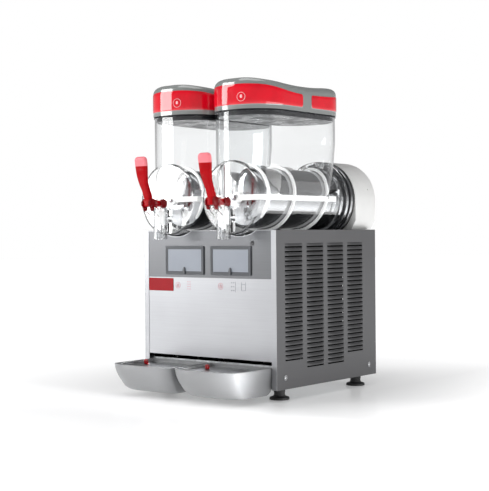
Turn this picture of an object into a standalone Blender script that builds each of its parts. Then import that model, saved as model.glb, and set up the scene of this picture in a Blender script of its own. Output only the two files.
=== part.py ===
"""Countertop slush machine with two clear bowls, built as separate pieces.

Metres, +Z up. The front faces -Y. The origin is on the floor, under the middle of the machine's box.
Depths in the constants are counted back from the casing's front face, and deep() turns them into Y.
"""

import math

import bmesh
import bpy
from mathutils import Matrix

# Overall
CASE_FRONT = -0.13225
CASE_WIDTH = 0.360
CASE_DEPTH = 0.364
CASE_BASE = 0.024
CASE_TOP = 0.3443
SHEET = 0.0015
GAP = 0.0003
FRONT_FLANGE = 0.0125

# Front panels
LOWER_PANEL_BASE = 0.0806
PANEL_SPLIT = 0.2462
SCALLOP_RADIUS = 0.0790
LABEL_X = 0.0628
LABEL_HALF_WIDTH = 0.0537
LABEL_BASE = 0.2518
LABEL_TOP = 0.3122
LABEL_BAR = 0.0067
LABEL_DEPTH = 0.0027

# Louvres in each side panel: (first depth of the column, number of rows)
LOUVRE_COLUMNS = ((0.0285, 25), (0.1030, 27), (0.1775, 27), (0.2520, 25))
LOUVRE_LENGTH = 0.0594
LOUVRE_HEIGHT = 0.0036
LOUVRE_TOP = 0.3099
LOUVRE_PITCH = 0.00949

# Feet and screws
FOOT_X = 0.150
FOOT_DEPTHS = (0.047, 0.326)
FOOT_PROFILE = ((0.0, 0.0237), (0.0120, 0.0237), (0.0120, 0.0075), (0.0200, 0.0048),
                (0.0205, 0.0), (0.0, 0.0))
SCREW_DEPTHS = (0.028, 0.335)
SCREW_HEIGHT = 0.047
SCREW_PROFILE = ((0.0, 0.0024), (0.0038, 0.0016), (0.0052, 0.0), (0.0, 0.0))
PANEL_SCREW = (0.119, 0.318)

# Deck: a recess that catches what drips from the bowls, and a raised shelf behind it
DECK_FLOOR = 0.3165
DECK_STEP = 0.3000
DECK_HALF_WIDTH = 0.1782

# Bowls
BOWL_X = 0.0864
AXIS_HEIGHT = 0.4105
BOWL_RADIUS = 0.0755
BOWL_SIDES = 32
BOWL_WALL = 0.0030
BOWL_FRONT = -0.0270
BOWL_REAR = 0.2740
RIM_RADIUS = 0.0845
RIM_THICKNESS = 0.0085
HOPPER_TOP = 0.5850
HOPPER_RIM = (0.0795, -0.0225, 0.2780, 0.0705)
# The hopper from its foot to its rim: (height, half width, front, rear, corner radius)
HOPPER_SECTIONS = ((AXIS_HEIGHT, 0.0750, -0.0200, 0.2660, 0.0660),
                   (0.4500, 0.0783, -0.0218, 0.2700, 0.0695),
                   (0.4960, 0.0790, -0.0222, 0.2738, 0.0700),
                   (0.5250, 0.0793, -0.0223, 0.2778, 0.0703),
                   (HOPPER_TOP, *HOPPER_RIM))

# Lids
LID_BASE = 0.5885
LID_OUTLINE = (0.0822, -0.0251, 0.2808, 0.0730)
LID_WALL = 0.0030
LID_CREST = ((-0.040, 0.6545), (-0.015, 0.6530), (0.010, 0.6485), (0.040, 0.6450), (0.075, 0.6428),
             (0.120, 0.6420), (0.160, 0.6432), (0.200, 0.6462), (0.240, 0.6475), (0.300, 0.6475))
BAND_HEIGHTS = (0.5965, 0.6330)
BAND_END = 0.1100
BADGE_HEIGHTS = (0.5980, 0.6290)
BADGE_START = 0.1420
BAND_THICKNESS = 0.0014

# Drum, drive and auger
DRUM_RADIUS = 0.0630
DRUM_FRONT = 0.0030
DRUM_REAR = 0.2997
SHAFT_RADIUS = 0.0060
SHAFT_FRONT = -0.0180
SHAFT_SIDES = 16
DRUM_SIDES = 24
AUGER_RADIUS = 0.0708
AUGER_BORE = 0.0645
AUGER_BLADE = 0.0055
AUGER_TURNS = 2.40
AUGER_START = -0.10
AUGER_SEGMENTS = 16

# Rear covers
COVER_RADIUS = 0.0845
COVER_FRONT = 0.3000
COVER_REAR = 0.3890
COVER_WALL = 0.0025
COVER_PORT = 0.0615

# Taps
SPOUT_DEPTH = -0.0500
SPOUT_RADIUS = 0.0150
SPOUT_BORE = 0.0110
SPOUT_BASE = 0.3270
SPOUT_TOP = 0.3920
PIVOT_DEPTH = -0.0860
PIVOT_HEIGHT = 0.4010
PIN_RADIUS = 0.0021
PIN_SIDES = 12
LINK_SLOT = 0.0028
HANDLE_FRONT = ((-0.0925, 0.3960), (-0.0925, 0.4120), (-0.0970, 0.4250), (-0.1040, 0.4400),
                (-0.1080, 0.4580), (-0.1105, 0.4800), (-0.1130, 0.4970))
HANDLE_REAR = ((-0.1030, 0.4975), (-0.1005, 0.4800), (-0.0980, 0.4580), (-0.0940, 0.4440),
               (-0.0870, 0.4300), (-0.0795, 0.4150), (-0.0785, 0.4080))
HANDLE_WIDTHS = ((0.380, 0.0085), (0.430, 0.0085), (0.475, 0.0155), (0.505, 0.0155))

# Drip trays: (height, half width, rear, shoulder, front) of each section, from the underside up
TRAY_SECTIONS = ((0.0120, 0.0665, 0.0040, -0.0700, -0.0880),
                 (0.0160, 0.0700, 0.0078, -0.0775, -0.0965),
                 (0.0300, 0.0745, 0.0080, -0.0890, -0.1090),
                 (0.0600, 0.0800, 0.0080, -0.1035, -0.1235),
                 (0.0685, 0.0803, 0.0080, -0.1045, -0.1245))
TRAY_WALL = 0.0025
TRAY_X = 0.0850
GRILLE_BASE = 0.0604
GRILLE_THICKNESS = 0.0024
GRILLE_SLOTS = 9
FLOAT_OFFSET = -0.0450
FLOAT_DEPTH = -0.0500

# Inside the casing
COMPRESSOR_AT = (-0.100, 0.245)
CONDENSER_AT = (0.128, 0.180)
FAN_AT = (0.088, 0.180, 0.165)

TURN_TO = {"X": (0.0, math.pi / 2, 0.0), "Y": (-math.pi / 2, 0.0, 0.0), "Z": (0.0, 0.0, 0.0)}
PLANE_TURN = {"XY": (0.0, 0.0, 0.0), "XZ": (math.pi / 2, 0.0, 0.0), "YZ": (math.pi / 2, 0.0, math.pi / 2)}
SIDES = {"left": -1, "right": 1}


def deep(depth):
    """Y of a depth counted back from the casing's front face."""
    return CASE_FRONT + depth


# Scene, collections and materials


def clear_scene():
    for obj in list(bpy.data.objects):
        bpy.data.objects.remove(obj, do_unlink=True)


def new_collection(name):
    group = bpy.data.collections.new(name)
    bpy.context.scene.collection.children.link(group)
    return group


def material(name, colour, roughness, metallic=0.0, alpha=1.0, transmission=0.0):
    finish = bpy.data.materials.new(name)
    finish.use_nodes = True
    shader = finish.node_tree.nodes["Principled BSDF"]
    shader.inputs["Base Color"].default_value = (*colour, 1.0)
    shader.inputs["Roughness"].default_value = roughness
    shader.inputs["Metallic"].default_value = metallic
    shader.inputs["Alpha"].default_value = alpha
    shader.inputs["Transmission Weight"].default_value = transmission
    finish.diffuse_color = (*colour, alpha)
    return finish


def make_materials():
    return {
        "steel": material("satin_steel", (0.55, 0.56, 0.57), 0.35, 1.0),
        "side": material("side_steel", (0.24, 0.24, 0.25), 0.45, 0.8),
        "polished": material("polished_steel", (0.72, 0.73, 0.74), 0.12, 1.0),
        "galvanised": material("galvanised_sheet", (0.50, 0.52, 0.53), 0.50, 0.9),
        "clear": material("clear_plastic", (0.95, 0.97, 0.98), 0.05, 0.0, 0.30, 0.9),
        "red": material("translucent_red", (0.70, 0.01, 0.04), 0.18, 0.0, 1.0, 0.3),
        "band": material("red_band", (0.62, 0.01, 0.05), 0.15),
        "lid": material("grey_lid_plastic", (0.38, 0.40, 0.39), 0.35),
        "dark": material("dark_plastic", (0.06, 0.06, 0.065), 0.50),
        "white": material("white_plastic", (0.82, 0.82, 0.81), 0.35),
        "tray": material("grey_tray_plastic", (0.42, 0.43, 0.44), 0.40),
        "rubber": material("black_rubber", (0.02, 0.02, 0.02), 0.70),
        "frame": material("label_frame_grey", (0.10, 0.10, 0.11), 0.40),
        "card": material("label_card", (0.50, 0.52, 0.58), 0.30),
        "black_paint": material("black_paint", (0.03, 0.03, 0.03), 0.40, 0.3),
        "copper": material("condenser_fins", (0.60, 0.60, 0.62), 0.40, 0.9),
    }


# Making shapes


def placed(name, bm, centre, turn=(0.0, 0.0, 0.0)):
    """The bmesh as an object in the parts collection, with its origin at centre."""
    bmesh.ops.recalc_face_normals(bm, faces=bm.faces)
    mesh = bpy.data.meshes.new(name)
    bm.to_mesh(mesh)
    bm.free()
    obj = bpy.data.objects.new(name, mesh)
    obj.location = centre
    obj.rotation_euler = turn
    PARTS.objects.link(obj)
    return obj


def box(name, low, high):
    size = [b - a for a, b in zip(low, high)]
    middle = [(a + b) / 2 for a, b in zip(low, high)]
    bm = bmesh.new()
    bmesh.ops.create_cube(bm, size=1.0, matrix=Matrix.Diagonal((*size, 1.0)))
    return placed(name, bm, middle)


def boxes(name, corners):
    """Several boxes in one mesh, for cutting a row of slots at once."""
    bm = bmesh.new()
    for low, high in corners:
        size = [b - a for a, b in zip(low, high)]
        middle = [(a + b) / 2 for a, b in zip(low, high)]
        bmesh.ops.create_cube(bm, size=1.0, matrix=Matrix.Translation(middle) @ Matrix.Diagonal((*size, 1.0)))
    return placed(name, bm, (0.0, 0.0, 0.0))


def cylinder(name, radius, length, centre, axis="Z", sides=32):
    bm = bmesh.new()
    bmesh.ops.create_cone(bm, cap_ends=True, segments=sides, radius1=radius, radius2=radius, depth=length)
    obj = placed(name, bm, centre, TURN_TO[axis])
    smooth(obj)
    return obj


def turned(name, profile, centre, axis="Z", sides=32, closed=False):
    """A profile of (radius, height) turned about the axis. It runs down its outer side."""
    bm = bmesh.new()
    points = [bm.verts.new((radius, 0.0, height)) for radius, height in profile]
    ends = points[1:] + points[:1] if closed else points[1:]
    for start, end in zip(points, ends):
        bm.edges.new((start, end))
    mesh = bpy.data.meshes.new(name)
    bm.to_mesh(mesh)
    bm.free()
    obj = bpy.data.objects.new(name, mesh)
    obj.location = centre
    obj.rotation_euler = TURN_TO[axis]
    PARTS.objects.link(obj)
    screw = obj.modifiers.new("Turn", "SCREW")
    screw.steps = sides
    screw.render_steps = sides
    screw.use_merge_vertices = True
    screw.merge_threshold = 0.0001
    return obj


def extruded(name, outline, thickness, centre, plane="XY"):
    """A flat outline given thickness: a filled 2D curve made into a mesh, with its caps welded on."""
    curve = bpy.data.curves.new(name, "CURVE")
    curve.dimensions = "2D"
    curve.fill_mode = "BOTH"
    curve.extrude = thickness / 2
    spline = curve.splines.new("POLY")
    spline.points.add(len(outline) - 1)
    for point, (across, up) in zip(spline.points, outline):
        point.co = (across, up, 0.0, 1.0)
    spline.use_cyclic_u = True
    guide = bpy.data.objects.new(name + "_outline", curve)
    guide.location = centre
    guide.rotation_euler = PLANE_TURN[plane]
    PARTS.objects.link(guide)
    graph = bpy.context.evaluated_depsgraph_get()
    mesh = bpy.data.meshes.new_from_object(guide.evaluated_get(graph))
    bm = bmesh.new()
    bm.from_mesh(mesh)
    bmesh.ops.remove_doubles(bm, verts=bm.verts, dist=0.00001)
    bmesh.ops.recalc_face_normals(bm, faces=bm.faces)
    bm.to_mesh(mesh)
    bm.free()
    obj = bpy.data.objects.new(name, mesh)
    obj.location = guide.location
    obj.rotation_euler = guide.rotation_euler
    PARTS.objects.link(obj)
    bpy.data.objects.remove(guide, do_unlink=True)
    return obj


def loft(name, sections, centre=(0.0, 0.0, 0.0)):
    """A skin over outlines that have the same number of points, closed at both ends."""
    bm = bmesh.new()
    rings = [[bm.verts.new(point) for point in section] for section in sections]
    for lower, upper in zip(rings, rings[1:]):
        for here in range(len(lower)):
            after = (here + 1) % len(lower)
            bm.faces.new((lower[here], lower[after], upper[after], upper[here]))
    bm.faces.new(rings[0])
    bm.faces.new(rings[-1])
    return placed(name, bm, centre)


def smooth(obj, degrees=35.0):
    obj.data.shade_smooth()
    obj.data.set_sharp_from_angle(angle=math.radians(degrees))


def combine(target, other, operation):
    """Joins other to target, or cuts it away. The helper moves to the cutters collection."""
    step = target.modifiers.new(other.name, "BOOLEAN")
    step.operation = operation
    step.solver = "EXACT"
    step.object = other
    PARTS.objects.unlink(other)
    CUTTERS.objects.link(other)
    other.hide_render = True
    other.display_type = "WIRE"


def join(target, *others):
    for other in others:
        combine(target, other, "UNION")


def cut(target, *others):
    for other in others:
        combine(target, other, "DIFFERENCE")


def paint(obj, name):
    obj.data.materials.clear()
    obj.data.materials.append(MATERIALS[name])
    return obj


def joint_empty(name, centre):
    """An empty on a joint's axis, which the pieces of that body hang from."""
    empty = bpy.data.objects.new(name, None)
    empty.empty_display_size = 0.02
    empty.location = centre
    PARTS.objects.link(empty)
    return empty


def hang(empty, *pieces):
    for piece in pieces:
        piece.parent = empty
        piece.location = piece.location - empty.location


# Outlines


def rounded_outline(half_width, front, rear, radius, steps=5, inset=0.0):
    """Points (x, depth) of a rectangle with round corners, counter-clockwise from above."""
    half_width, radius = half_width - inset, radius - inset
    front, rear = front + inset, rear - inset
    corners = ((half_width - radius, front + radius, -90), (half_width - radius, rear - radius, 0),
               (-half_width + radius, rear - radius, 90), (-half_width + radius, front + radius, 180))
    points = []
    for across, depth, start in corners:
        for step in range(steps + 1):
            angle = math.radians(start + 90 * step / steps)
            points.append((across + radius * math.cos(angle), depth + radius * math.sin(angle)))
    return points


def level(outline, height):
    """An outline of (x, depth) as 3D points at one height."""
    return [(across, deep(depth), height) for across, depth in outline]


def prism(name, outline, base, top, x):
    return loft(name, (level(outline, base), level(outline, top)), (x, 0.0, 0.0))


def tray_outline(half_width, rear, shoulder, front, inset=0.0, steps=12):
    """Points (x, depth): square at the rear, with straight sides and a bowed front."""
    half_width, rear = half_width - inset, rear - inset
    bow = shoulder - front
    points = [(-half_width, rear), (half_width, rear)]
    for step in range(steps + 1):
        angle = math.pi * step / steps
        across = math.copysign(abs(math.cos(angle)) ** 0.85, math.cos(angle)) * half_width
        points.append((across, shoulder + inset - bow * math.sin(angle) ** 0.85))
    return points[::-1]


def arch_outline(radius, foot, chamfer, centre_height, steps=10, inset=0.0):
    """Points (x, z): a half circle on flat sides, with chamfered lower corners."""
    radius, foot, lower = radius - inset, foot + inset, foot + chamfer + inset * 0.4
    points = []
    for step in range(steps + 1):
        angle = math.pi * step / steps
        points.append((radius * math.cos(angle), centre_height + radius * math.sin(angle)))
    inner = radius - chamfer * 0.6
    return points + [(-radius, lower), (-inner, foot), (inner, foot), (radius, lower)]


# Casing


def side_panel(side):
    """A folded sheet: the louvred wall and the narrow flange that shows at the front."""
    sign = SIDES[side]
    outer, inner = CASE_WIDTH / 2, CASE_WIDTH / 2 - SHEET
    flange = CASE_WIDTH / 2 - FRONT_FLANGE
    outline = [(sign * outer, deep(0.0)), (sign * outer, deep(CASE_DEPTH)),
               (sign * inner, deep(CASE_DEPTH)), (sign * inner, deep(SHEET)),
               (sign * flange, deep(SHEET)), (sign * flange, deep(0.0))]
    panel = extruded(f"{side}_side_panel", outline, CASE_TOP - CASE_BASE,
                     (0.0, 0.0, (CASE_TOP + CASE_BASE) / 2))
    slots = []
    for depth, rows in LOUVRE_COLUMNS:
        for row in range(rows):
            middle = LOUVRE_TOP - row * LOUVRE_PITCH
            ends = sorted((sign * (inner - 0.002), sign * (outer + 0.002)))
            slots.append(((ends[0], deep(depth), middle - LOUVRE_HEIGHT / 2),
                          (ends[1], deep(depth + LOUVRE_LENGTH), middle + LOUVRE_HEIGHT / 2)))
    cut(panel, boxes(f"{side}_louvre_slots", slots))
    return paint(panel, "side")


def base_pan():
    """The floor of the casing, with turned-up front, side and rear edges."""
    half = DECK_HALF_WIDTH
    front, rear = deep(0.0095), deep(CASE_DEPTH - 0.0003)
    pan = box("base_pan", (-half, front, CASE_BASE + GAP), (half, rear, 0.0720))
    hollow = box("base_pan_hollow", (-half + SHEET, front + SHEET, CASE_BASE + GAP + SHEET),
                 (half - SHEET, rear - SHEET, 0.0800))
    trim = box("base_pan_trim", (-0.3, front + 0.0300, 0.0420), (0.3, rear + 0.0100, 0.0900))
    cut(pan, hollow, trim)
    return paint(pan, "galvanised")


def front_panels():
    half = CASE_WIDTH / 2 - FRONT_FLANGE - GAP
    near, far = deep(0.0004), deep(0.0004 + SHEET)
    lower = box("lower_front_panel", (-half, near, LOWER_PANEL_BASE), (half, far, PANEL_SPLIT - 0.0004))
    upper = box("upper_front_panel", (-half, near, PANEL_SPLIT), (half, far, CASE_TOP))
    for side, sign in SIDES.items():
        cut(upper, cylinder(f"{side}_scallop", SCALLOP_RADIUS, 0.02,
                            (sign * BOWL_X, deep(0.0), AXIS_HEIGHT), "Y", 40))
    return paint(lower, "steel"), paint(upper, "steel")


def rear_panel():
    half = DECK_HALF_WIDTH
    near, far = deep(CASE_DEPTH - SHEET), deep(CASE_DEPTH)
    panel = box("rear_panel", (-half, near, 0.0424), (half, far, CASE_TOP - SHEET - 0.0004))
    slots = [((x, near - 0.01, 0.12 + row * 0.016), (x + 0.11, far + 0.01, 0.126 + row * 0.016))
             for x in (-0.13, 0.02) for row in range(8)]
    cut(panel, boxes("rear_vent_slots", slots))
    port = cylinder("inlet_port", 0.0083, 0.02, (-0.12, deep(CASE_DEPTH), 0.075), "Y", 12)
    cut(panel, port)
    return paint(panel, "side")


def top_deck():
    """One folded sheet seen from the side: front lip, recess floor, step and rear shelf."""
    low, shelf, step = DECK_FLOOR, CASE_TOP, DECK_STEP
    front, rear = 0.0023, CASE_DEPTH - 0.0003
    outline = [(deep(front), 0.3300), (deep(front), low), (deep(step), low), (deep(step + SHEET), low),
               (deep(step + SHEET), shelf - SHEET), (deep(rear), shelf - SHEET), (deep(rear), shelf),
               (deep(step), shelf), (deep(step), low + SHEET), (deep(front + SHEET), low + SHEET),
               (deep(front + SHEET), 0.3300)]
    deck = extruded("top_deck", outline, 2 * DECK_HALF_WIDTH, (0.0, 0.0, 0.0), "YZ")
    return paint(deck, "steel")


def label_holder(side):
    """The frame on the upper panel and the printed card behind its window."""
    x = SIDES[side] * LABEL_X
    back = deep(0.0004 - GAP)
    front = back - LABEL_DEPTH
    frame = box(f"label_frame_{side}", (x - LABEL_HALF_WIDTH, front, LABEL_BASE),
                (x + LABEL_HALF_WIDTH, back, LABEL_TOP))
    inner = LABEL_HALF_WIDTH - LABEL_BAR
    cut(frame, box(f"label_window_{side}", (x - inner, front - 0.01, LABEL_BASE + LABEL_BAR),
                   (x + inner, back + 0.01, LABEL_TOP - LABEL_BAR)))
    card = box(f"label_card_{side}", (x - inner + GAP, front + 0.0009, LABEL_BASE + LABEL_BAR + GAP),
               (x + inner - GAP, back, LABEL_TOP - LABEL_BAR - GAP))
    return paint(frame, "frame"), paint(card, "card")


def feet():
    for end, depth in zip(("front", "rear"), FOOT_DEPTHS):
        for side, sign in SIDES.items():
            foot = turned(f"foot_{end}_{side}", FOOT_PROFILE, (sign * FOOT_X, deep(depth), 0.0), sides=18)
            paint(foot, "rubber")


def screws():
    """Domed screws: two in each side panel and one in the upper front panel."""
    for end, depth in zip(("front", "rear"), SCREW_DEPTHS):
        for side, sign in SIDES.items():
            centre = (sign * (CASE_WIDTH / 2 + GAP), deep(depth), SCREW_HEIGHT)
            screw = turned(f"side_screw_{end}_{side}", SCREW_PROFILE, centre, "X", 12)
            screw.rotation_euler = (0.0, sign * math.pi / 2, 0.0)
            paint(screw, "polished")
    x, height = PANEL_SCREW
    screw = turned("panel_screw", SCREW_PROFILE, (x, deep(0.0004 - GAP), height), "Y", 12)
    screw.rotation_euler = (math.pi / 2, 0.0, 0.0)
    paint(screw, "polished")


# Inside the casing


def compressor():
    x, depth = COMPRESSOR_AT
    profile = ((0.0, 0.168), (0.030, 0.163), (0.052, 0.142), (0.056, 0.120), (0.056, 0.062),
               (0.044, 0.040), (0.0, 0.036))
    shell = turned("compressor", profile, (x, deep(depth), 0.0), sides=18)
    floor = CASE_BASE + 2 * GAP + SHEET
    join(shell, box("compressor_base", (x - 0.062, deep(depth) - 0.045, floor),
                    (x + 0.062, deep(depth) + 0.045, 0.040)))
    return paint(shell, "black_paint")


def condenser():
    """A finned block: a comb outline, so that air passes between its fins."""
    x, depth = CONDENSER_AT
    fins, pitch, fin = 12, 0.018, 0.006
    start = depth - (fins - 1) * pitch / 2 - fin / 2
    outline = [(x - 0.018, deep(start)), (x - 0.018, deep(start + (fins - 1) * pitch + fin))]
    for index in reversed(range(fins)):
        near = start + index * pitch
        outline += [(x + 0.018, deep(near + fin)), (x + 0.018, deep(near))]
        if index:
            outline += [(x - 0.012, deep(near)), (x - 0.012, deep(near - pitch + fin))]
    floor = CASE_BASE + 2 * GAP + SHEET
    block = extruded("condenser", outline, 0.250 - floor, (0.0, 0.0, (0.250 + floor) / 2))
    return paint(block, "copper")


def fan():
    """An axial fan behind the condenser: five blades on a hub, and its motor on a post."""
    x, depth, height = FAN_AT
    centre = (x, deep(depth), height)
    hub = cylinder("fan_blade", 0.018, 0.016, centre, "X", 16)
    for index in range(5):
        bm = bmesh.new()
        swing = Matrix.Rotation(index * math.tau / 5, 4, "X")
        pitch = Matrix.Rotation(math.radians(28), 4, "Z")
        reach = Matrix.Translation((0.0, 0.0, 0.048))
        bmesh.ops.create_cube(bm, size=1.0, matrix=swing @ reach @ pitch @ Matrix.Diagonal((0.002, 0.040, 0.074, 1.0)))
        join(hub, placed(f"fan_vane_{index}", bm, centre))
    paint(hub, "dark")
    rear = x - 0.012
    motor = cylinder("fan_motor", 0.026, 0.045, (rear - 0.0225, deep(depth), height), "X", 16)
    floor = CASE_BASE + 2 * GAP + SHEET
    join(motor, box("fan_post", (rear - 0.034, deep(depth) - 0.008, floor),
                    (rear - 0.028, deep(depth) + 0.008, height - 0.02)),
         box("fan_foot", (rear - 0.050, deep(depth) - 0.025, floor),
             (rear - 0.010, deep(depth) + 0.025, floor + 0.002)))
    pivot = joint_empty("fan_axis", centre)
    hang(pivot, hub)
    return paint(motor, "black_paint")


def electrics():
    """The control box behind the upper front panel, and the inlet gland in the rear panel."""
    control = box("control_box", (-0.150, deep(0.0022), 0.225), (0.060, deep(0.045), 0.308))
    bevel = control.modifiers.new("Edges", "BEVEL")
    bevel.width = 0.003
    bevel.segments = 1
    paint(control, "dark")
    profile = ((0.0065, 0.0140), (0.0085, 0.0065), (0.0130, 0.0062), (0.0130, GAP),
               (0.0078, GAP), (0.0078, -0.0120), (0.0035, -0.0120), (0.0035, 0.0140))
    gland = turned("power_inlet", profile, (-0.12, deep(CASE_DEPTH), 0.075), "Y", 12, closed=True)
    return paint(gland, "rubber")


# Drum and drive, one set behind each bowl


def evaporator(side):
    """The cold drum: a hollow steel shell open at the rear, with a sleeve through it for the shaft."""
    bore, sleeve = SHAFT_RADIUS + 0.0012, SHAFT_RADIUS + 0.0032
    wall, neck, step, flange = 0.0018, 0.0700, 0.0785, 0.0835
    profile = [(sleeve, DRUM_REAR), (sleeve, DRUM_FRONT + 0.005), (DRUM_RADIUS - wall, DRUM_FRONT + 0.020),
               (DRUM_RADIUS - wall, 0.2660), (neck - wall, 0.2670), (neck - wall, DRUM_REAR),
               (step, DRUM_REAR), (step, 0.2915), (flange, 0.2915), (flange, 0.2850), (neck, 0.2850),
               (neck, 0.2640), (DRUM_RADIUS, 0.2630), (DRUM_RADIUS, DRUM_FRONT + 0.018),
               (0.054, DRUM_FRONT + 0.008), (0.030, DRUM_FRONT), (bore, DRUM_FRONT), (bore, DRUM_REAR)]
    drum = turned(f"evaporator_{side}", profile, (SIDES[side] * BOWL_X, CASE_FRONT, AXIS_HEIGHT),
                  "Y", DRUM_SIDES, closed=True)
    return paint(drum, "polished")


def bowl_seal(side):
    """The rubber ring between the bowl's rear rim and the drum's flange."""
    inner, outer = 0.0703, 0.0787
    front, rear = BOWL_REAR + GAP, 0.2847
    profile = [(outer, rear), (outer, front), (inner, front), (inner, rear)]
    ring = turned(f"bowl_seal_{side}", profile, (SIDES[side] * BOWL_X, CASE_FRONT, AXIS_HEIGHT),
                  "Y", DRUM_SIDES, closed=True)
    return paint(ring, "rubber")


def rear_cover(side):
    """A moulded arch over the gearmotor, with a port at the front that the drum's rear end covers."""
    x, foot = SIDES[side] * BOWL_X, CASE_TOP + GAP

    def section(depth, shrink):
        outline = arch_outline(COVER_RADIUS, foot, 0.020, AXIS_HEIGHT, inset=shrink)
        return [(across, deep(depth), height) for across, height in outline]

    cover = loft(f"rear_cover_{side}", (section(COVER_FRONT, 0.0), section(COVER_REAR - 0.014, 0.0),
                                        section(COVER_REAR - 0.004, 0.005), section(COVER_REAR, 0.014)),
                 (x, 0.0, 0.0))
    hollow = loft(f"cover_hollow_{side}", (section(COVER_FRONT + COVER_WALL, COVER_WALL),
                                           section(COVER_REAR - 0.015, COVER_WALL),
                                           section(COVER_REAR - 0.006, 0.008),
                                           section(COVER_REAR - COVER_WALL, 0.016)), (x, 0.0, 0.0))
    port = cylinder(f"cover_port_{side}", COVER_PORT, 0.03, (x, deep(COVER_FRONT), AXIS_HEIGHT), "Y", DRUM_SIDES)
    cut(cover, hollow, port)
    return paint(cover, "white")


def gearmotor(side):
    """Front flange against the drum, gearbox and motor can. The shaft runs in its blind bore."""
    x = SIDES[side] * BOWL_X
    bore = SHAFT_RADIUS + 0.0004
    front = COVER_FRONT
    profile = [(0.0, front + 0.080), (0.027, front + 0.080), (0.027, front + 0.045), (0.046, front + 0.044),
               (0.046, front + 0.006), (0.060, front + 0.0058), (0.060, front),
               (bore, front), (bore, front + 0.030), (0.0, front + 0.030)]
    motor = turned(f"gearmotor_{side}", profile, (x, CASE_FRONT, AXIS_HEIGHT), "Y", 18)
    return paint(motor, "black_paint")


def helix_ring(turn):
    """The four corners of the blade's section after some turns. The pitch widens towards the rear."""
    depth = 0.007 + 0.0735 * turn + 0.0145 * turn * turn
    angle = math.tau * turn
    corners = []
    for radius, shift in ((AUGER_BORE, -0.5), (AUGER_RADIUS, -0.5), (AUGER_RADIUS, 0.5), (AUGER_BORE, 0.5)):
        corners.append((radius * math.cos(angle), deep(depth + shift * AUGER_BLADE),
                        AXIS_HEIGHT + radius * math.sin(angle)))
    return corners


def auger(side):
    """A helical blade round the drum, tied by two long bars and driven by a cross arm at the front."""
    x = SIDES[side] * BOWL_X
    count = round(AUGER_TURNS * AUGER_SEGMENTS)
    turns = [AUGER_START + AUGER_TURNS * step / count for step in range(count + 1)]
    blade = loft(f"auger_{side}", [helix_ring(turn) for turn in turns], (x, 0.0, 0.0))
    for index, edge in enumerate((AUGER_BORE + 0.0003, -AUGER_BORE - 0.0048)):
        join(blade, box(f"auger_bar_{side}_{index}", (x + edge, deep(-0.0120), AXIS_HEIGHT - 0.0055),
                        (x + edge + 0.0045, deep(0.2450), AXIS_HEIGHT + 0.0055)))
    arm = box(f"auger_arm_{side}", (x - AUGER_BORE - 0.0048, deep(-0.0125), AXIS_HEIGHT - 0.0057),
              (x + AUGER_BORE + 0.0048, deep(-0.0075), AXIS_HEIGHT + 0.0057))
    hub = cylinder(f"auger_hub_{side}", 0.0120, 0.0130, (x, deep(-0.0080), AXIS_HEIGHT), "Y", SHAFT_SIDES)
    bore = cylinder(f"auger_bore_{side}", SHAFT_RADIUS + GAP, 0.05, (x, deep(-0.0080), AXIS_HEIGHT), "Y",
                    SHAFT_SIDES)
    join(blade, arm, hub)
    cut(blade, bore)
    return paint(blade, "white")


def drive_shaft(side):
    rear = COVER_FRONT + 0.028
    centre = (SIDES[side] * BOWL_X, deep((SHAFT_FRONT + rear) / 2), AXIS_HEIGHT)
    return paint(cylinder(f"drive_shaft_{side}", SHAFT_RADIUS, rear - SHAFT_FRONT, centre, "Y", SHAFT_SIDES),
                 "polished")


# Bowl, tap and lid


def hopper_levels(inset=0.0, rise=0.0):
    """The hopper's outlines from its foot up. The last one can rise, so that a cutter passes the rim."""
    levels = [level(rounded_outline(*sizes, inset=inset), height) for height, *sizes in HOPPER_SECTIONS]
    levels[-1] = [(across, y, height + rise) for across, y, height in levels[-1]]
    return levels


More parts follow.
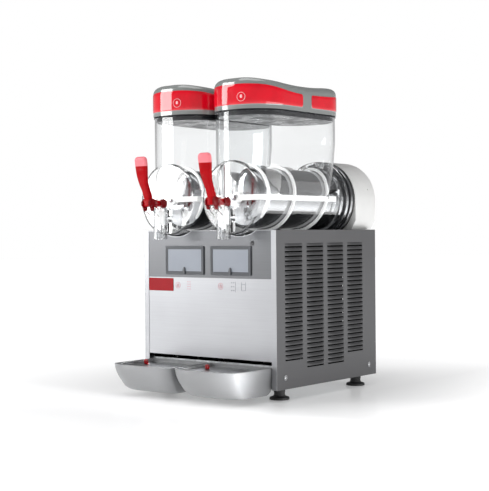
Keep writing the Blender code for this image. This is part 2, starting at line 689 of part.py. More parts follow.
def bowl(side):
    """The clear moulding: a lying cylinder, the hopper that rises from it, the rear rim and the tap's body."""
    x = SIDES[side] * BOWL_X
    length = BOWL_REAR - BOWL_FRONT
    middle = (x, deep((BOWL_REAR + BOWL_FRONT) / 2), AXIS_HEIGHT)
    shell = cylinder(f"bowl_{side}", BOWL_RADIUS, length, middle, "Y", BOWL_SIDES)
    hopper = loft(f"hopper_{side}", hopper_levels(), (x, 0.0, 0.0))
    rim = cylinder(f"bowl_rim_{side}", RIM_RADIUS, RIM_THICKNESS,
                   (x, deep(BOWL_REAR - RIM_THICKNESS / 2), AXIS_HEIGHT), "Y", BOWL_SIDES)
    spout = cylinder(f"spout_{side}", SPOUT_RADIUS, SPOUT_TOP - SPOUT_BASE,
                     (x, deep(SPOUT_DEPTH), (SPOUT_TOP + SPOUT_BASE) / 2), "Z", 16)
    neck = box(f"spout_neck_{side}", (x - 0.0112, deep(SPOUT_DEPTH), 0.3400), (x + 0.0112, deep(-0.0255), 0.3880))
    join(shell, hopper, rim, spout, neck)
    for end, sign in SIDES.items():
        outline = [(-0.0500, 0.3740), (-0.0500, 0.3910), (-0.0780, 0.4080), (-0.0920, 0.4080),
                   (-0.0920, 0.3930), (-0.0660, 0.3740)]
        ear = extruded(f"tap_ear_{side}_{end}", [(deep(depth), height) for depth, height in outline],
                       0.0028, (x + sign * 0.0106, 0.0, 0.0), "YZ")
        join(shell, ear)
    inner = cylinder(f"bowl_bore_{side}", BOWL_RADIUS - BOWL_WALL, length,
                     (x, middle[1] + BOWL_WALL, AXIS_HEIGHT), "Y", BOWL_SIDES)
    mouth = loft(f"hopper_bore_{side}", hopper_levels(BOWL_WALL, 0.01), (x, 0.0, 0.0))
    drop = cylinder(f"spout_bore_{side}", SPOUT_BORE, 0.2, (x, deep(SPOUT_DEPTH), 0.36), "Z", 16)
    port = cylinder(f"spout_port_{side}", 0.0085, 0.05, (x, deep(-0.0300), 0.3680), "Y", 12)
    eyes = cylinder(f"pin_holes_{side}", PIN_RADIUS + 0.0004, 0.05,
                    (x, deep(PIVOT_DEPTH), PIVOT_HEIGHT), "X", PIN_SIDES)
    cut(shell, inner, mouth, drop, port, eyes)
    return paint(shell, "clear")


def tap_plunger(side):
    """The piston that closes the outlet, with a head and cross pin that the handle's fork lifts."""
    x, y = SIDES[side] * BOWL_X, deep(SPOUT_DEPTH)
    profile = [(0.0, 0.3950), (0.0045, 0.3950), (0.0045, 0.3860), (0.0090, 0.3850), (0.0104, 0.3835),
               (0.0104, 0.3560), (0.0, 0.3560)]
    piston = turned(f"tap_plunger_{side}", profile, (x, y, 0.0), sides=16)
    head = cylinder(f"plunger_head_{side}", 0.0093, 0.0100, (x, y, PIVOT_HEIGHT), "X", 16)
    cross_pin = cylinder(f"plunger_pin_{side}", 0.0020, 0.0166, (x, y, PIVOT_HEIGHT), "X", 8)
    join(piston, head, cross_pin)
    return paint(piston, "red")


def tap_handle(side):
    """The S-shaped lever: a fork at the plunger, a hub at the pin and a wide thumb plate on top."""
    x = SIDES[side] * BOWL_X
    slot, tip = LINK_SLOT, -0.0450
    fork = ((tip, PIVOT_HEIGHT + 0.0058), (tip, PIVOT_HEIGHT + slot), (-0.0540, PIVOT_HEIGHT + slot),
            (-0.0540, PIVOT_HEIGHT - slot), (tip, PIVOT_HEIGHT - slot), (tip, PIVOT_HEIGHT - 0.0055),
            (-0.0800, PIVOT_HEIGHT - 0.0068))
    outline = [(deep(depth), height) for depth, height in (*HANDLE_FRONT, *HANDLE_REAR, *fork)]
    lever = extruded(f"tap_handle_{side}", outline, 0.0400, (x, 0.0, 0.0), "YZ")
    face = [(x + half, height) for height, half in HANDLE_WIDTHS]
    face += [(x - half, height) for height, half in reversed(HANDLE_WIDTHS)]
    combine(lever, extruded(f"handle_face_{side}", face, 0.2, (0.0, deep(-0.08), 0.0), "XZ"), "INTERSECT")
    cut(lever, box(f"handle_fork_{side}", (x - 0.0056, deep(-0.0680), 0.3700), (x + 0.0056, deep(-0.0300), 0.4300)),
        cylinder(f"handle_eye_{side}", PIN_RADIUS + 0.0004, 0.05, (x, deep(PIVOT_DEPTH), PIVOT_HEIGHT), "X", PIN_SIDES))
    return paint(lever, "red")


def tap_pin(side):
    centre = (SIDES[side] * BOWL_X, deep(PIVOT_DEPTH), PIVOT_HEIGHT)
    return paint(cylinder(f"tap_pin_{side}", PIN_RADIUS, 0.0256, centre, "X", PIN_SIDES), "polished")


def crest(name, x, drop=0.0):
    """A block whose wavy upper face trims the lid. The wave is the same all the way across."""
    outline = [(deep(depth), height - drop) for depth, height in LID_CREST]
    outline += [(deep(LID_CREST[-1][0]), LID_BASE - 0.03), (deep(LID_CREST[0][0]), LID_BASE - 0.03)]
    return extruded(name, outline, 0.3, (x, 0.0, 0.0), "YZ")


def strip(name, x, heights, depths, outer, inner):
    """A band that follows the lid's outline between two depths: two insets of it, one cut from the other."""
    ring = prism(name, rounded_outline(*LID_OUTLINE, inset=outer), *heights, x)
    core = prism(f"{name}_core", rounded_outline(*LID_OUTLINE, inset=inner), heights[0] - 0.01,
                 heights[1] + 0.01, x)
    keep = box(f"{name}_keep", (x - 0.2, deep(depths[0]), heights[0] - 0.02),
               (x + 0.2, deep(depths[1]), heights[1] + 0.02))
    cut(ring, core)
    combine(ring, keep, "INTERSECT")
    return ring


def lid(side):
    """The wavy cover shell with its two shallow recesses, and the red strips that sit in them."""
    x = SIDES[side] * BOWL_X
    shell = prism(f"lid_{side}", rounded_outline(*LID_OUTLINE), LID_BASE, 0.700, x)
    combine(shell, crest(f"lid_crest_{side}", x), "INTERSECT")
    hollow = prism(f"lid_hollow_{side}", rounded_outline(*LID_OUTLINE, inset=LID_WALL), LID_BASE - 0.01, 0.700, x)
    combine(hollow, crest(f"hollow_crest_{side}", x, LID_WALL), "INTERSECT")
    cut(shell, hollow)
    reach = {"band": (BAND_HEIGHTS, (-0.2, BAND_END)), "badge": (BADGE_HEIGHTS, (BADGE_START, 0.4))}
    for kind, (heights, depths) in reach.items():
        wide = (heights[0] - GAP, heights[1] + GAP)
        longer = (depths[0] - GAP, depths[1] + GAP)
        cut(shell, strip(f"{kind}_recess_{side}", x, wide, longer, -0.002, BAND_THICKNESS))
        paint(strip(f"lid_{kind}_{side}", x, heights, depths, -0.0002, BAND_THICKNESS - GAP), "band")
    return paint(shell, "lid")


def lid_liner(side):
    """The dark pan that closes the lid from below: its skirt sits in the hopper and its flange on the rim."""
    x = SIDES[side] * BOWL_X
    skirt = prism(f"lid_liner_{side}", rounded_outline(*HOPPER_RIM, inset=0.0038), 0.5770, 0.5880, x)
    flange = prism(f"liner_flange_{side}", rounded_outline(*LID_OUTLINE, inset=0.0010), HOPPER_TOP + GAP, 0.5880, x)
    hollow = prism(f"liner_hollow_{side}", rounded_outline(*HOPPER_RIM, inset=0.0062), 0.5795, 0.6100, x)
    join(skirt, flange)
    cut(skirt, hollow)
    return paint(skirt, "dark")


# Drip trays


def drip_tray(side):
    x = SIDES[side] * TRAY_X
    outer = [level(tray_outline(*sizes), height) for height, *sizes in TRAY_SECTIONS]
    tray = loft(f"drip_tray_{side}", outer, (x, 0.0, 0.0))
    lifted = [(0.0146, TRAY_SECTIONS[0][1:]), (0.0180, TRAY_SECTIONS[1][1:])]
    lifted += [(height, sizes) for height, *sizes in TRAY_SECTIONS[2:4]]
    lifted.append((0.0760, TRAY_SECTIONS[4][1:]))
    inner = [level(tray_outline(*sizes, inset=TRAY_WALL), height) for height, sizes in lifted]
    cut(tray, loft(f"tray_hollow_{side}", inner, (x, 0.0, 0.0)))
    return paint(tray, "tray")


def tray_grille(side):
    """The slotted plate that cups stand on, with a hole for the level float."""
    x = SIDES[side] * TRAY_X
    sizes = TRAY_SECTIONS[3][1:]
    plate = prism(f"tray_grille_{side}", tray_outline(*sizes, inset=TRAY_WALL + 0.0006), GRILLE_BASE,
                  GRILLE_BASE + GRILLE_THICKNESS, x)
    slots = []
    for index in range(GRILLE_SLOTS):
        across = x + (index - (GRILLE_SLOTS - 1) / 2) * 0.0150
        front = -0.0380 if abs(across - x - FLOAT_OFFSET) < 0.012 else -0.0980
        slots.append(((across - 0.0022, deep(front), GRILLE_BASE - 0.01),
                      (across + 0.0022, deep(-0.0060), GRILLE_BASE + 0.02)))
    cut(plate, boxes(f"grille_slots_{side}", slots),
        cylinder(f"float_hole_{side}", 0.0062, 0.03, (x + FLOAT_OFFSET, deep(FLOAT_DEPTH), GRILLE_BASE), "Z", 20))
    return paint(plate, "steel")


def tray_float(side):
    """The red float that rises through the grille as the tray fills."""
    profile = [(0.0, 0.0735), (0.0048, 0.0715), (0.0048, 0.0640), (0.0034, 0.0630),
               (0.0034, 0.0300), (0.0110, 0.0290), (0.0110, 0.0150), (0.0, 0.0150)]
    centre = (SIDES[side] * TRAY_X + FLOAT_OFFSET, deep(FLOAT_DEPTH), 0.0)
    return paint(turned(f"tray_float_{side}", profile, centre, sides=12), "red")


def build_casing():
    for side in SIDES:
        side_panel(side)
        label_holder(side)
    base_pan()
    front_panels()
    rear_panel()
    top_deck()
    feet()
    screws()
    compressor()
    condenser()
    fan()
    electrics()


def build_station(side):
    """Everything that serves one flavour: drum, drive, bowl, tap, lid and drip tray."""
    x = SIDES[side] * BOWL_X
    evaporator(side)
    bowl_seal(side)
    rear_cover(side)
    gearmotor(side)
    hang(joint_empty(f"auger_axis_{side}", (x, deep(0.12), AXIS_HEIGHT)), auger(side), drive_shaft(side))
    bowl_slide = joint_empty(f"bowl_slide_{side}", (x, deep(BOWL_REAR), AXIS_HEIGHT))
    hang(bowl_slide, bowl(side), tap_pin(side))
    hang(joint_empty(f"tap_pivot_{side}", (x, deep(PIVOT_DEPTH), PIVOT_HEIGHT)), tap_handle(side))
    tap_plunger(side)
    cover = lid(side)
    strips = [PARTS.objects[f"lid_{kind}_{side}"] for kind in ("band", "badge")]
    hang(joint_empty(f"lid_lift_{side}", (x, deep(0.128), LID_BASE)), cover, *strips, lid_liner(side))
    drip_tray(side)
    tray_grille(side)
    tray_float(side)


clear_scene()
PARTS = new_collection("slush_machine")
CUTTERS = new_collection("cutters")
MATERIALS = make_materials()
build_casing()
for station in SIDES:
    build_station(station)
bpy.context.view_layer.update()
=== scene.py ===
"""A countertop slush machine: two clear bowls with augers, taps, lids and drip trays, on a louvred steel casing.

Metres, +Z up, the front towards -Y. A depth is counted back from the casing's front face, so that FRONT + depth
is its Y. Shapes that both bowls share are worked out on the middle plane and then moved across to each side.
"""

import math

import bmesh
import bpy
import numpy as np
from mathutils import Euler, Matrix, Vector


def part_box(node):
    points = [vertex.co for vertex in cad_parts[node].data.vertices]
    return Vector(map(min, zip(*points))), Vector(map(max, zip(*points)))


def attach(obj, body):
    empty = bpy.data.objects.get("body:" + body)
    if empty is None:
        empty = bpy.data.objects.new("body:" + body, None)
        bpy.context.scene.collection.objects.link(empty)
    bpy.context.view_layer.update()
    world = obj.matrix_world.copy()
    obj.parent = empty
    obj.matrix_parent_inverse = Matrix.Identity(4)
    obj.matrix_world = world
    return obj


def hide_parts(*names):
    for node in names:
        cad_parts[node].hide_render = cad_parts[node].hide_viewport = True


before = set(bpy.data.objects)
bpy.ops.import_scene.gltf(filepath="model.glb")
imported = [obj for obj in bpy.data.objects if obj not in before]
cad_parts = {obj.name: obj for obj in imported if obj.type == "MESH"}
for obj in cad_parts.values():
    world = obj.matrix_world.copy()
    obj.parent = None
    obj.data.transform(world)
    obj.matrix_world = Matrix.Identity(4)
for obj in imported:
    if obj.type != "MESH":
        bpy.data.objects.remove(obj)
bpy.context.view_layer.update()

bl_info = {
    "name": "Slush machine",
    "version": (1, 0, 0),
    "blender": (4, 5, 0),
    "location": "3D View > Sidebar > Slush machine",
    "description": "Builds a twin-bowl countertop slush machine round its packed frame",
    "category": "Add Mesh",
}

SIDES = {"left": -1, "right": 1}


def middle(node):
    low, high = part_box(node)
    return (low + high) / 2


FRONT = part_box("right_side_panel")[0].y
FLANGE = 0.0128
CASE_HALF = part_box("upper_front_panel")[1].x + FLANGE
CASE_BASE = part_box("right_side_panel")[0].z
CASE_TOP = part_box("right_side_panel")[1].z
BOWL_X = middle("evaporator_right").x
AXIS = middle("evaporator_right").z
TRAY_X = middle("drip_tray_right").x


# Properties


def length(label, description, default):
    return bpy.props.FloatProperty(name=label, description=description, default=default, min=0.0,
                                   precision=4, subtype="DISTANCE", unit="LENGTH")


def offset(label, description, default):
    return bpy.props.FloatProperty(name=label, description=description, default=default,
                                   precision=4, subtype="DISTANCE", unit="LENGTH")


def power(label, description, default):
    return bpy.props.FloatProperty(name=label, description=description, default=default,
                                   subtype="POWER", unit="POWER")


def colour(label, description, default):
    return bpy.props.FloatVectorProperty(name=label, description=description, default=default, size=3,
                                         min=0.0, max=1.0, subtype="COLOR")


class SlushFinishSettings(bpy.types.PropertyGroup):
    """Colours and gloss of the finishes."""

    front_steel: colour("Front steel", "Brushed stainless of the front panels", (0.39, 0.395, 0.41))
    # The label panel and deck take the front steel's brushed pattern in this darker colour.
    upper_steel: colour("Upper steel", "Darker stainless of the label panel and deck", (0.15, 0.153, 0.16))
    side_steel: colour("Side steel", "Satin steel of the sides and back", (0.118, 0.118, 0.122))
    bright_steel: colour("Bright steel", "Polished stainless of the drums and screws", (0.45, 0.455, 0.465))
    clear_tint: colour("Clear tint", "Tint of the clear plastic", (0.985, 0.992, 0.995))
    tap_red: colour("Tap red", "Red of the taps and floats", (0.40, 0.0005, 0.004))
    # The pale pink of the handles' upper ends is a painted highlight.
    tip_pink: colour("Tip pink", "Paler end of the tap handles", (0.80, 0.22, 0.25))
    band_red: colour("Band red", "Red of the lid bands and front plate", (0.70, 0.0005, 0.014))
    lid_grey: colour("Lid grey", "Grey of the lids", (0.205, 0.218, 0.212))
    tray_grey: colour("Tray grey", "Grey of the drip trays", (0.245, 0.249, 0.256))
    cover_white: colour("Cover white", "Off-white of the rear covers", (0.70, 0.70, 0.69))
    auger_white: colour("Auger white", "White of the augers", (0.92, 0.92, 0.91))
    frame_grey: colour("Frame grey", "Dark grey of the label frames", (0.075, 0.08, 0.09))
    card_grey: colour("Card grey", "Blue-grey of the label cards", (0.27, 0.295, 0.34))
    rubber_grey: colour("Rubber grey", "Dark grey of the bowl seals", (0.035, 0.036, 0.04))


class SlushCasingSettings(bpy.types.PropertyGroup):
    """Sizes of the casing's pressed and added details."""

    louvre_length: length("Louvre length", "Length of each louvre", 0.0594)
    louvre_pitch: length("Louvre pitch", "Height from one louvre to the next", 0.00949)
    louvre_top: length("Louvre top", "Height of the highest slot's middle", 0.3099)
    louvre_slot: length("Louvre slot", "Height of each slot", 0.0036)
    hood_depth: length("Hood depth", "How far a hood stands out of the panel", 0.0026)
    scallop: length("Scallop radius", "Radius of the dips under the bowls", 0.0790)
    lip: length("Lip radius", "Radius of the rolled edge on the upper panel", 0.0012)
    plate_left: offset("Plate left", "Left end of the red plate", -0.1664)
    plate_right: offset("Plate right", "Right end of the red plate", -0.0962)
    plate_low: length("Plate low", "Lower edge of the red plate", 0.2163)
    plate_high: length("Plate high", "Upper edge of the red plate", 0.2435)


class SlushBowlSettings(bpy.types.PropertyGroup):
    """Sizes of the clear bowls."""

    radius: length("Radius", "Outer radius of the lying cylinder", 0.0755)
    wall: length("Wall", "Thickness of the clear wall", 0.0030)
    front: offset("Front", "Depth of the round front face", -0.0270)
    rear: offset("Rear", "Depth of the rear edge", 0.2740)
    rim_radius: length("Rim radius", "Radius of the rear rim", 0.0845)
    rim_length: length("Rim length", "Length of the rear rim", 0.0085)
    edge: length("Edge", "Rounding of the front edge", 0.0028)
    spout_radius: length("Spout radius", "Outer radius of the spout", 0.0150)
    spout_bore: length("Spout bore", "Inner radius of the spout", 0.0110)
    spout_depth: offset("Spout depth", "Depth of the spout's middle", -0.0500)


class SlushDriveSettings(bpy.types.PropertyGroup):
    """Sizes of the cold drums, augers and rear covers."""

    drum_radius: length("Drum radius", "Radius of the cold drum", 0.0630)
    drum_front: length("Drum front", "Depth of the drum's front", 0.0030)
    auger_bore: length("Auger bore", "Inner radius of the blade", 0.0645)
    auger_radius: length("Auger radius", "Outer radius of the blade", 0.0708)
    blade: length("Blade", "Thickness of the blade", 0.0055)
    shaft_radius: length("Shaft radius", "Radius of the drive shaft", 0.0060)
    cover_radius: length("Cover radius", "Radius of the rear cover's arch", 0.0845)
    cover_front: length("Cover front", "Depth of the rear cover's front", 0.3000)
    cover_rear: length("Cover rear", "Depth of the rear cover's back", 0.3890)


class SlushTapSettings(bpy.types.PropertyGroup):
    """Sizes of the taps."""

    pivot_depth: offset("Pivot depth", "Depth of the handle's pin", -0.0860)
    pivot_height: length("Pivot height", "Height of the handle's pin", 0.4010)
    pin_radius: length("Pin radius", "Radius of the handle's pin", 0.0021)
    knob_radius: length("Knob radius", "Radius of the plunger's round head", 0.0098)
    tip_height: length("Tip height", "Height at which the handle turns pale", 0.4775)


class SlushLidSettings(bpy.types.PropertyGroup):
    """Sizes of the lids and their red strips."""

    base: length("Base", "Height of the lid's lower edge", 0.5885)
    wall: length("Wall", "Thickness of the lid", 0.0030)
    edge: length("Edge", "Rounding of the lid's upper edge", 0.0135)
    band_low: length("Band low", "Lower edge of the long band", 0.5968)
    band_end: length("Band end", "Depth at which the long band ends", 0.1100)
    badge_start: length("Badge start", "Depth at which the rear strip starts", 0.1400)
    ring: length("Ring", "Radius of the ring marks", 0.0098)


class SlushTraySettings(bpy.types.PropertyGroup):
    """Sizes of the drip trays."""

    wall: length("Wall", "Thickness of the tray", 0.0025)
    grille_base: length("Grille base", "Underside of the grille", 0.0604)
    grille_thickness: length("Grille thickness", "Thickness of the grille", 0.0024)
    slot_pitch: length("Slot pitch", "Distance from slot to slot", 0.0150)
    float_across: offset("Float across", "The float's place across the tray", -0.0450)
    float_depth: offset("Float depth", "The float's depth", -0.0500)


class SlushStageSettings(bpy.types.PropertyGroup):
    """The studio: camera, floor and lights."""

    camera: bpy.props.FloatVectorProperty(name="Camera", description="Place of the camera", size=3,
                                          default=(1.5945, -1.99045, 0.3369), subtype="TRANSLATION",
                                          unit="LENGTH")
    turn: bpy.props.FloatProperty(name="Turn", description="The camera's turn about the vertical",
                                  default=math.radians(38.816), subtype="ANGLE", unit="ROTATION")
    roll: bpy.props.FloatProperty(name="Roll", description="The camera's roll", subtype="ANGLE",
                                  default=math.radians(-0.418), unit="ROTATION")
    lens: bpy.props.FloatProperty(name="Lens", description="Focal length in millimetres", default=86.16)
    shift: bpy.props.FloatProperty(name="Shift", description="Vertical shift of the lens", default=-0.0237)
    key: power("Key", "Power of the tall front light", 33.0)
    side: power("Side", "Power of the right-hand light", 10.5)
    top: power("Top", "Power of the overhead light", 13.0)
    low: power("Low", "Power of the small light on the trays", 0.5)


SETTINGS = {
    "slush_finish": SlushFinishSettings,
    "slush_casing": SlushCasingSettings,
    "slush_bowl": SlushBowlSettings,
    "slush_drive": SlushDriveSettings,
    "slush_tap": SlushTapSettings,
    "slush_lid": SlushLidSettings,
    "slush_tray": SlushTraySettings,
    "slush_stage": SlushStageSettings,
}


# Surfaces


def smooth_curve(knots, at):
    """Values at some places on a curve through knots (place, value, ...).

    Between two knots it is the cubic that meets both, with each knot's slope taken from its neighbours.
    """
    knots = np.asarray(knots, float)
    places, values = knots[:, 0], knots[:, 1:]
    slopes = np.gradient(values, places, axis=0)
    at = np.clip(np.asarray(at, float), places[0], places[-1])
    i = np.clip(np.searchsorted(places, at) - 1, 0, len(places) - 2)
    step = (places[i + 1] - places[i])[..., None]
    u = (at - places[i])[..., None] / step
    rise = values[i + 1] - values[i]
    return (values[i] + u * step * slopes[i]
            + u * u * (3 * rise - step * (2 * slopes[i] + slopes[i + 1]))
            + u**3 * (step * (slopes[i] + slopes[i + 1]) - 2 * rise))


def rounded_rectangle(half, front, rear, radius, steps=16, along=0):
    """Outlines (across, depth) of rectangles with round corners, one row for each set of sizes.

    Each corner is a quarter circle of that radius, and along adds points to the two long sides.
    """
    half, front, rear, radius = (np.atleast_1d(np.asarray(size, float))[:, None]
                                 for size in np.broadcast_arrays(half, front, rear, radius))
    quarter = np.linspace(0.0, math.pi / 2, steps + 1)[None, :]
    pieces = []
    corners = ((1, front + radius, -math.pi / 2), (1, rear - radius, 0.0),
               (-1, rear - radius, math.pi / 2), (-1, front + radius, math.pi))
    for sign, depth, start in corners:
        across = sign * (half - radius) + radius * np.cos(quarter + start)
        pieces.append(np.stack([across, depth + radius * np.sin(quarter + start)], axis=-1))
    if along:
        share_of = (np.arange(along) + 1.0)[None, :, None] / (along + 1)
        for place, (one, other) in ((1, (0, 1)), (4, (2, 3))):
            first = pieces[one if place == 1 else 3][:, -1:, :]
            last = pieces[other if place == 1 else 4][:, :1, :]
            pieces.insert(place, first + (last - first) * share_of)
    return np.concatenate(pieces, axis=1)


def rows_at(outlines, heights):
    """A grid of points: each outline (across, depth) at its height, which may differ along the outline."""
    heights = np.broadcast_to(np.asarray(heights, float).reshape(len(outlines), -1), outlines.shape[:2])
    return np.stack([outlines[..., 0], FRONT + outlines[..., 1], heights], axis=-1)


def tray_outline(half, rear, shoulder, front, inset=0.0, steps=40):
    """Outlines (across, depth) with a square rear, straight sides and a bowed front.

    The front is a superellipse of power 1 / 0.85 from shoulder to shoulder.
    """
    half, rear, shoulder, front, inset = (np.atleast_1d(np.asarray(size, float))[:, None]
                                          for size in np.broadcast_arrays(half, rear, shoulder, front,
                                                                          inset))
    angle = np.linspace(0.0, math.pi, steps + 1)[None, :]
    across = np.sign(np.cos(angle)) * np.abs(np.cos(angle)) ** 0.85 * (half - inset)
    depth = shoulder + inset - (shoulder - front) * np.abs(np.sin(angle)) ** 0.85
    corners = np.stack([np.concatenate([inset - half, half - inset], axis=1),
                        np.concatenate([rear - inset, rear - inset], axis=1)], axis=-1)
    return np.concatenate([corners, np.stack([across, depth], axis=-1)], axis=1)


def arch_outline(radius, foot, chamfer, inset, steps=56):
    """Outlines (across, height): a half circle about the bowl's axis on straight sides, lower corners cut."""
    inset = np.asarray(inset, float)[:, None]
    radius, foot = radius - inset, foot + inset
    lower = foot + chamfer - inset * 0.6
    inner = radius - chamfer * 0.6
    angle = np.linspace(0.0, math.pi, steps + 1)[None, :]
    arc = np.stack([radius * np.cos(angle), AXIS + radius * np.sin(angle)], axis=-1)
    ends = [np.stack([across, height], axis=-1)
            for across, height in ((-radius, lower), (-inner, foot), (inner, foot), (radius, lower))]
    return np.concatenate([arc, *ends], axis=1)


def softened(corners, reach, steps=5):
    """A polygon with each corner rounded: from a point on one side to a point on the next along a parabola.

    With A and B the points that lie reach from corner C, the parabola is (1-t)^2 A + 2t(1-t) C + t^2 B.
    """
    corners = np.asarray(corners, float)
    t = np.linspace(0.0, 1.0, steps)[None, :, None]
    start, end = np.roll(corners, 1, axis=0) - corners, np.roll(corners, -1, axis=0) - corners
    sizes = [np.linalg.norm(side, axis=1, keepdims=True) for side in (start, end)]
    a = corners + start * np.minimum(reach / sizes[0], 0.45)
    b = corners + end * np.minimum(reach / sizes[1], 0.45)
    curve = (1 - t) ** 2 * a[:, None] + 2 * t * (1 - t) * corners[:, None] + t * t * b[:, None]
    return curve.reshape(-1, 2)


def grid_faces(rows, columns, wrap=True):
    """Quads of a grid of points. With wrap the last column joins the first."""
    i = np.arange(rows - 1)[:, None]
    j = np.arange(columns if wrap else columns - 1)[None, :]
    k = (j + 1) % columns
    quads = [i * columns + j, i * columns + k, (i + 1) * columns + k, (i + 1) * columns + j]
    return np.stack(quads, axis=-1).reshape(-1, 4)


def skin(grid, ends=True):
    """(points, faces) of rows of points, each a closed outline. With ends the first and last are filled."""
    rows, columns = grid.shape[:2]
    faces = grid_faces(rows, columns).tolist()
    if ends:
        faces += [list(range(columns)), list(range((rows - 1) * columns, rows * columns))]
    return grid.reshape(-1, 3), faces


def slab(outer, inner):
    """(points, faces) of the closed solid between two open sheets with the same rows and columns."""
    rows, columns = outer.shape[:2]
    count = rows * columns
    sheet = grid_faces(rows, columns, wrap=False)
    index = np.arange(count).reshape(rows, columns)
    border = np.concatenate([index[0, :-1], index[:-1, -1], index[-1, :0:-1], index[:0:-1, 0]])
    after = np.roll(border, -1)
    edge = np.stack([border, after, after + count, border + count], axis=1)
    faces = np.concatenate([sheet, sheet[:, ::-1] + count, edge])
    return np.concatenate([outer.reshape(-1, 3), inner.reshape(-1, 3)]), faces.tolist()


def repeated(points, faces, shifts):
    """(points, faces) of one shape at many places, each place a shift (x, y, z)."""
    shifts = np.asarray(shifts, float)
    every = (points[None] + shifts[:, None]).reshape(-1, 3)
    starts = (np.arange(len(shifts)) * len(points)).tolist()
    return every, [[corner + start for corner in face] for start in starts for face in faces]


def turned(profile, centre=(0.0, 0.0, 0.0), axis="Y", sides=96):
    """(points, faces) of a profile (along, radius) turned about an axis through centre.

    A point goes to along on the axis, and radius cos a and radius sin a across it.
    """
    profile = np.asarray(profile, float)
    angle = np.linspace(0.0, math.tau, sides, endpoint=False)[None, :]
    along = np.repeat(profile[:, :1], sides, axis=1)
    one, other = profile[:, 1:] * np.cos(angle), profile[:, 1:] * np.sin(angle)
    order = {"X": (along, one, other), "Y": (one, along, other), "Z": (one, other, along)}[axis]
    return skin(np.stack(order, axis=-1) + np.asarray(centre, float), ends=False)


def rod(ends, radius, centre, axis="Y", sides=48):
    """(points, faces) of a round rod from one end to the other along an axis through centre."""
    return turned([(ends[0], 0.0), (ends[0], radius), (ends[1], radius), (ends[1], 0.0)], centre, axis,
                  sides)


def signed_power(values, power_of):
    """The values' sizes raised to a power, with their own signs: it turns circles into superellipses."""
    return np.sign(values) * np.abs(values) ** power_of


def arc(centre, radius, start, end, steps=6):
    """Points on an arc, angles in degrees."""
    angle = np.radians(np.linspace(start, end, steps))
    return np.stack([centre[0] + radius * np.cos(angle), centre[1] + radius * np.sin(angle)], axis=-1)


def block(low, high):
    """(points, faces) of the box between two corners, for cutting."""
    x, y, z = zip(low, high)
    ring = np.array([(x[0], y[0]), (x[1], y[0]), (x[1], y[1]), (x[0], y[1])])
    grid = np.stack([np.column_stack([ring, np.full(4, height)]) for height in z])
    return skin(grid)


def pushed(outline, ends, plane="YZ"):
    """(points, faces) of an outline carried straight across its plane from one end to the other."""
    outline = np.asarray(outline, float)
    layers = []
    for end in ends:
        across = np.full(len(outline), end)
        order = {"YZ": (across, outline[:, 0], outline[:, 1]), "XZ": (outline[:, 0], across, outline[:, 1]),
                 "XY": (outline[:, 0], outline[:, 1], across)}[plane]
        layers.append(np.stack(order, axis=-1))
    return skin(np.stack(layers))


def side_view(points):
    """Outline points (depth, height) as (y, z)."""
    points = np.asarray(points, float)
    return np.stack([FRONT + points[:, 0], points[:, 1]], axis=-1)


# Objects


def solid(name, *parts):
    """An object of closed skins, with doubled points merged and every face turned outwards."""
    points, faces, start = [], [], 0
    for part_points, part_faces in parts:
        points.append(part_points)
        faces += [[corner + start for corner in face] for face in part_faces]
        start += len(part_points)
    mesh = bpy.data.meshes.new(name)
    mesh.from_pydata(np.concatenate(points).tolist(), [], faces)
    shape = bmesh.new()
    shape.from_mesh(mesh)
    bmesh.ops.remove_doubles(shape, verts=shape.verts, dist=2e-6)
    bmesh.ops.dissolve_degenerate(shape, edges=shape.edges, dist=1e-7)
    bmesh.ops.recalc_face_normals(shape, faces=shape.faces)
    shape.to_mesh(mesh)
    shape.free()
    piece = bpy.data.objects.new(name, mesh)
    bpy.context.scene.collection.objects.link(piece)
    return piece


def settled(piece):
    """Works the piece's modifiers into its mesh."""
    bpy.context.view_layer.update()
    graph = bpy.context.evaluated_depsgraph_get()
    mesh = bpy.data.meshes.new_from_object(piece.evaluated_get(graph))
    piece.modifiers.clear()
    piece.data = mesh
    return piece


def combined(piece, operation, *others):
    """Joins, cuts or intersects a piece with others, which are used up."""
    for other in others:
        step = piece.modifiers.new(other.name, "BOOLEAN")
        step.operation = operation
        step.solver = "EXACT"
        step.object = other
    settled(piece)
    for other in others:
        bpy.data.objects.remove(other)
    if not piece.data.polygons:
        raise RuntimeError(f"{piece.name} came out empty")
    return piece


def joined(piece, *others):
    return combined(piece, "UNION", *others)


def cut(piece, *others):
    return combined(piece, "DIFFERENCE", *others)


def eased(piece, width, angle=40.0, segments=2):
    """Rounds the piece's sharp edges."""
    step = piece.modifiers.new("eased_edges", "BEVEL")
    step.width = width
    step.segments = segments
    step.limit_method = "ANGLE"
    step.angle_limit = math.radians(angle)
    step.harden_normals = False
    return settled(piece)


def smoothed(piece, angle=32.0, weighted=True):
    """Shades the piece smoothly up to an angle, with normals that follow its larger faces."""
    piece.data.shade_smooth()
    piece.data.set_sharp_from_angle(angle=math.radians(angle))
    if weighted:
        step = piece.modifiers.new("even_normals", "WEIGHTED_NORMAL")
        step.keep_sharp = True
        step.weight = 60
        settled(piece)
    return piece


def moved_copy(name, source, across):
    """A copy of a piece with its points moved across."""
    mesh = source.data.copy()
    mesh.name = name
    points = np.empty(len(mesh.vertices) * 3, np.float32)
    mesh.vertices.foreach_get("co", points)
    points[0::3] += across
    mesh.vertices.foreach_set("co", points)
    mesh.update()
    piece = bpy.data.objects.new(name, mesh)
    bpy.context.scene.collection.objects.link(piece)
    return piece


def dress(piece, body, slot, nodes=(), finish=None):
    """Gives a piece its finish, named by finish or else by slot, lets it ride on its body and hides the CAD
    nodes it stands for.
    """
    piece.data.materials.clear()
    piece.data.materials.append(FINISHES[finish or slot])
    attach(piece, body)
    if nodes:
        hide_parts(*nodes)
    return piece


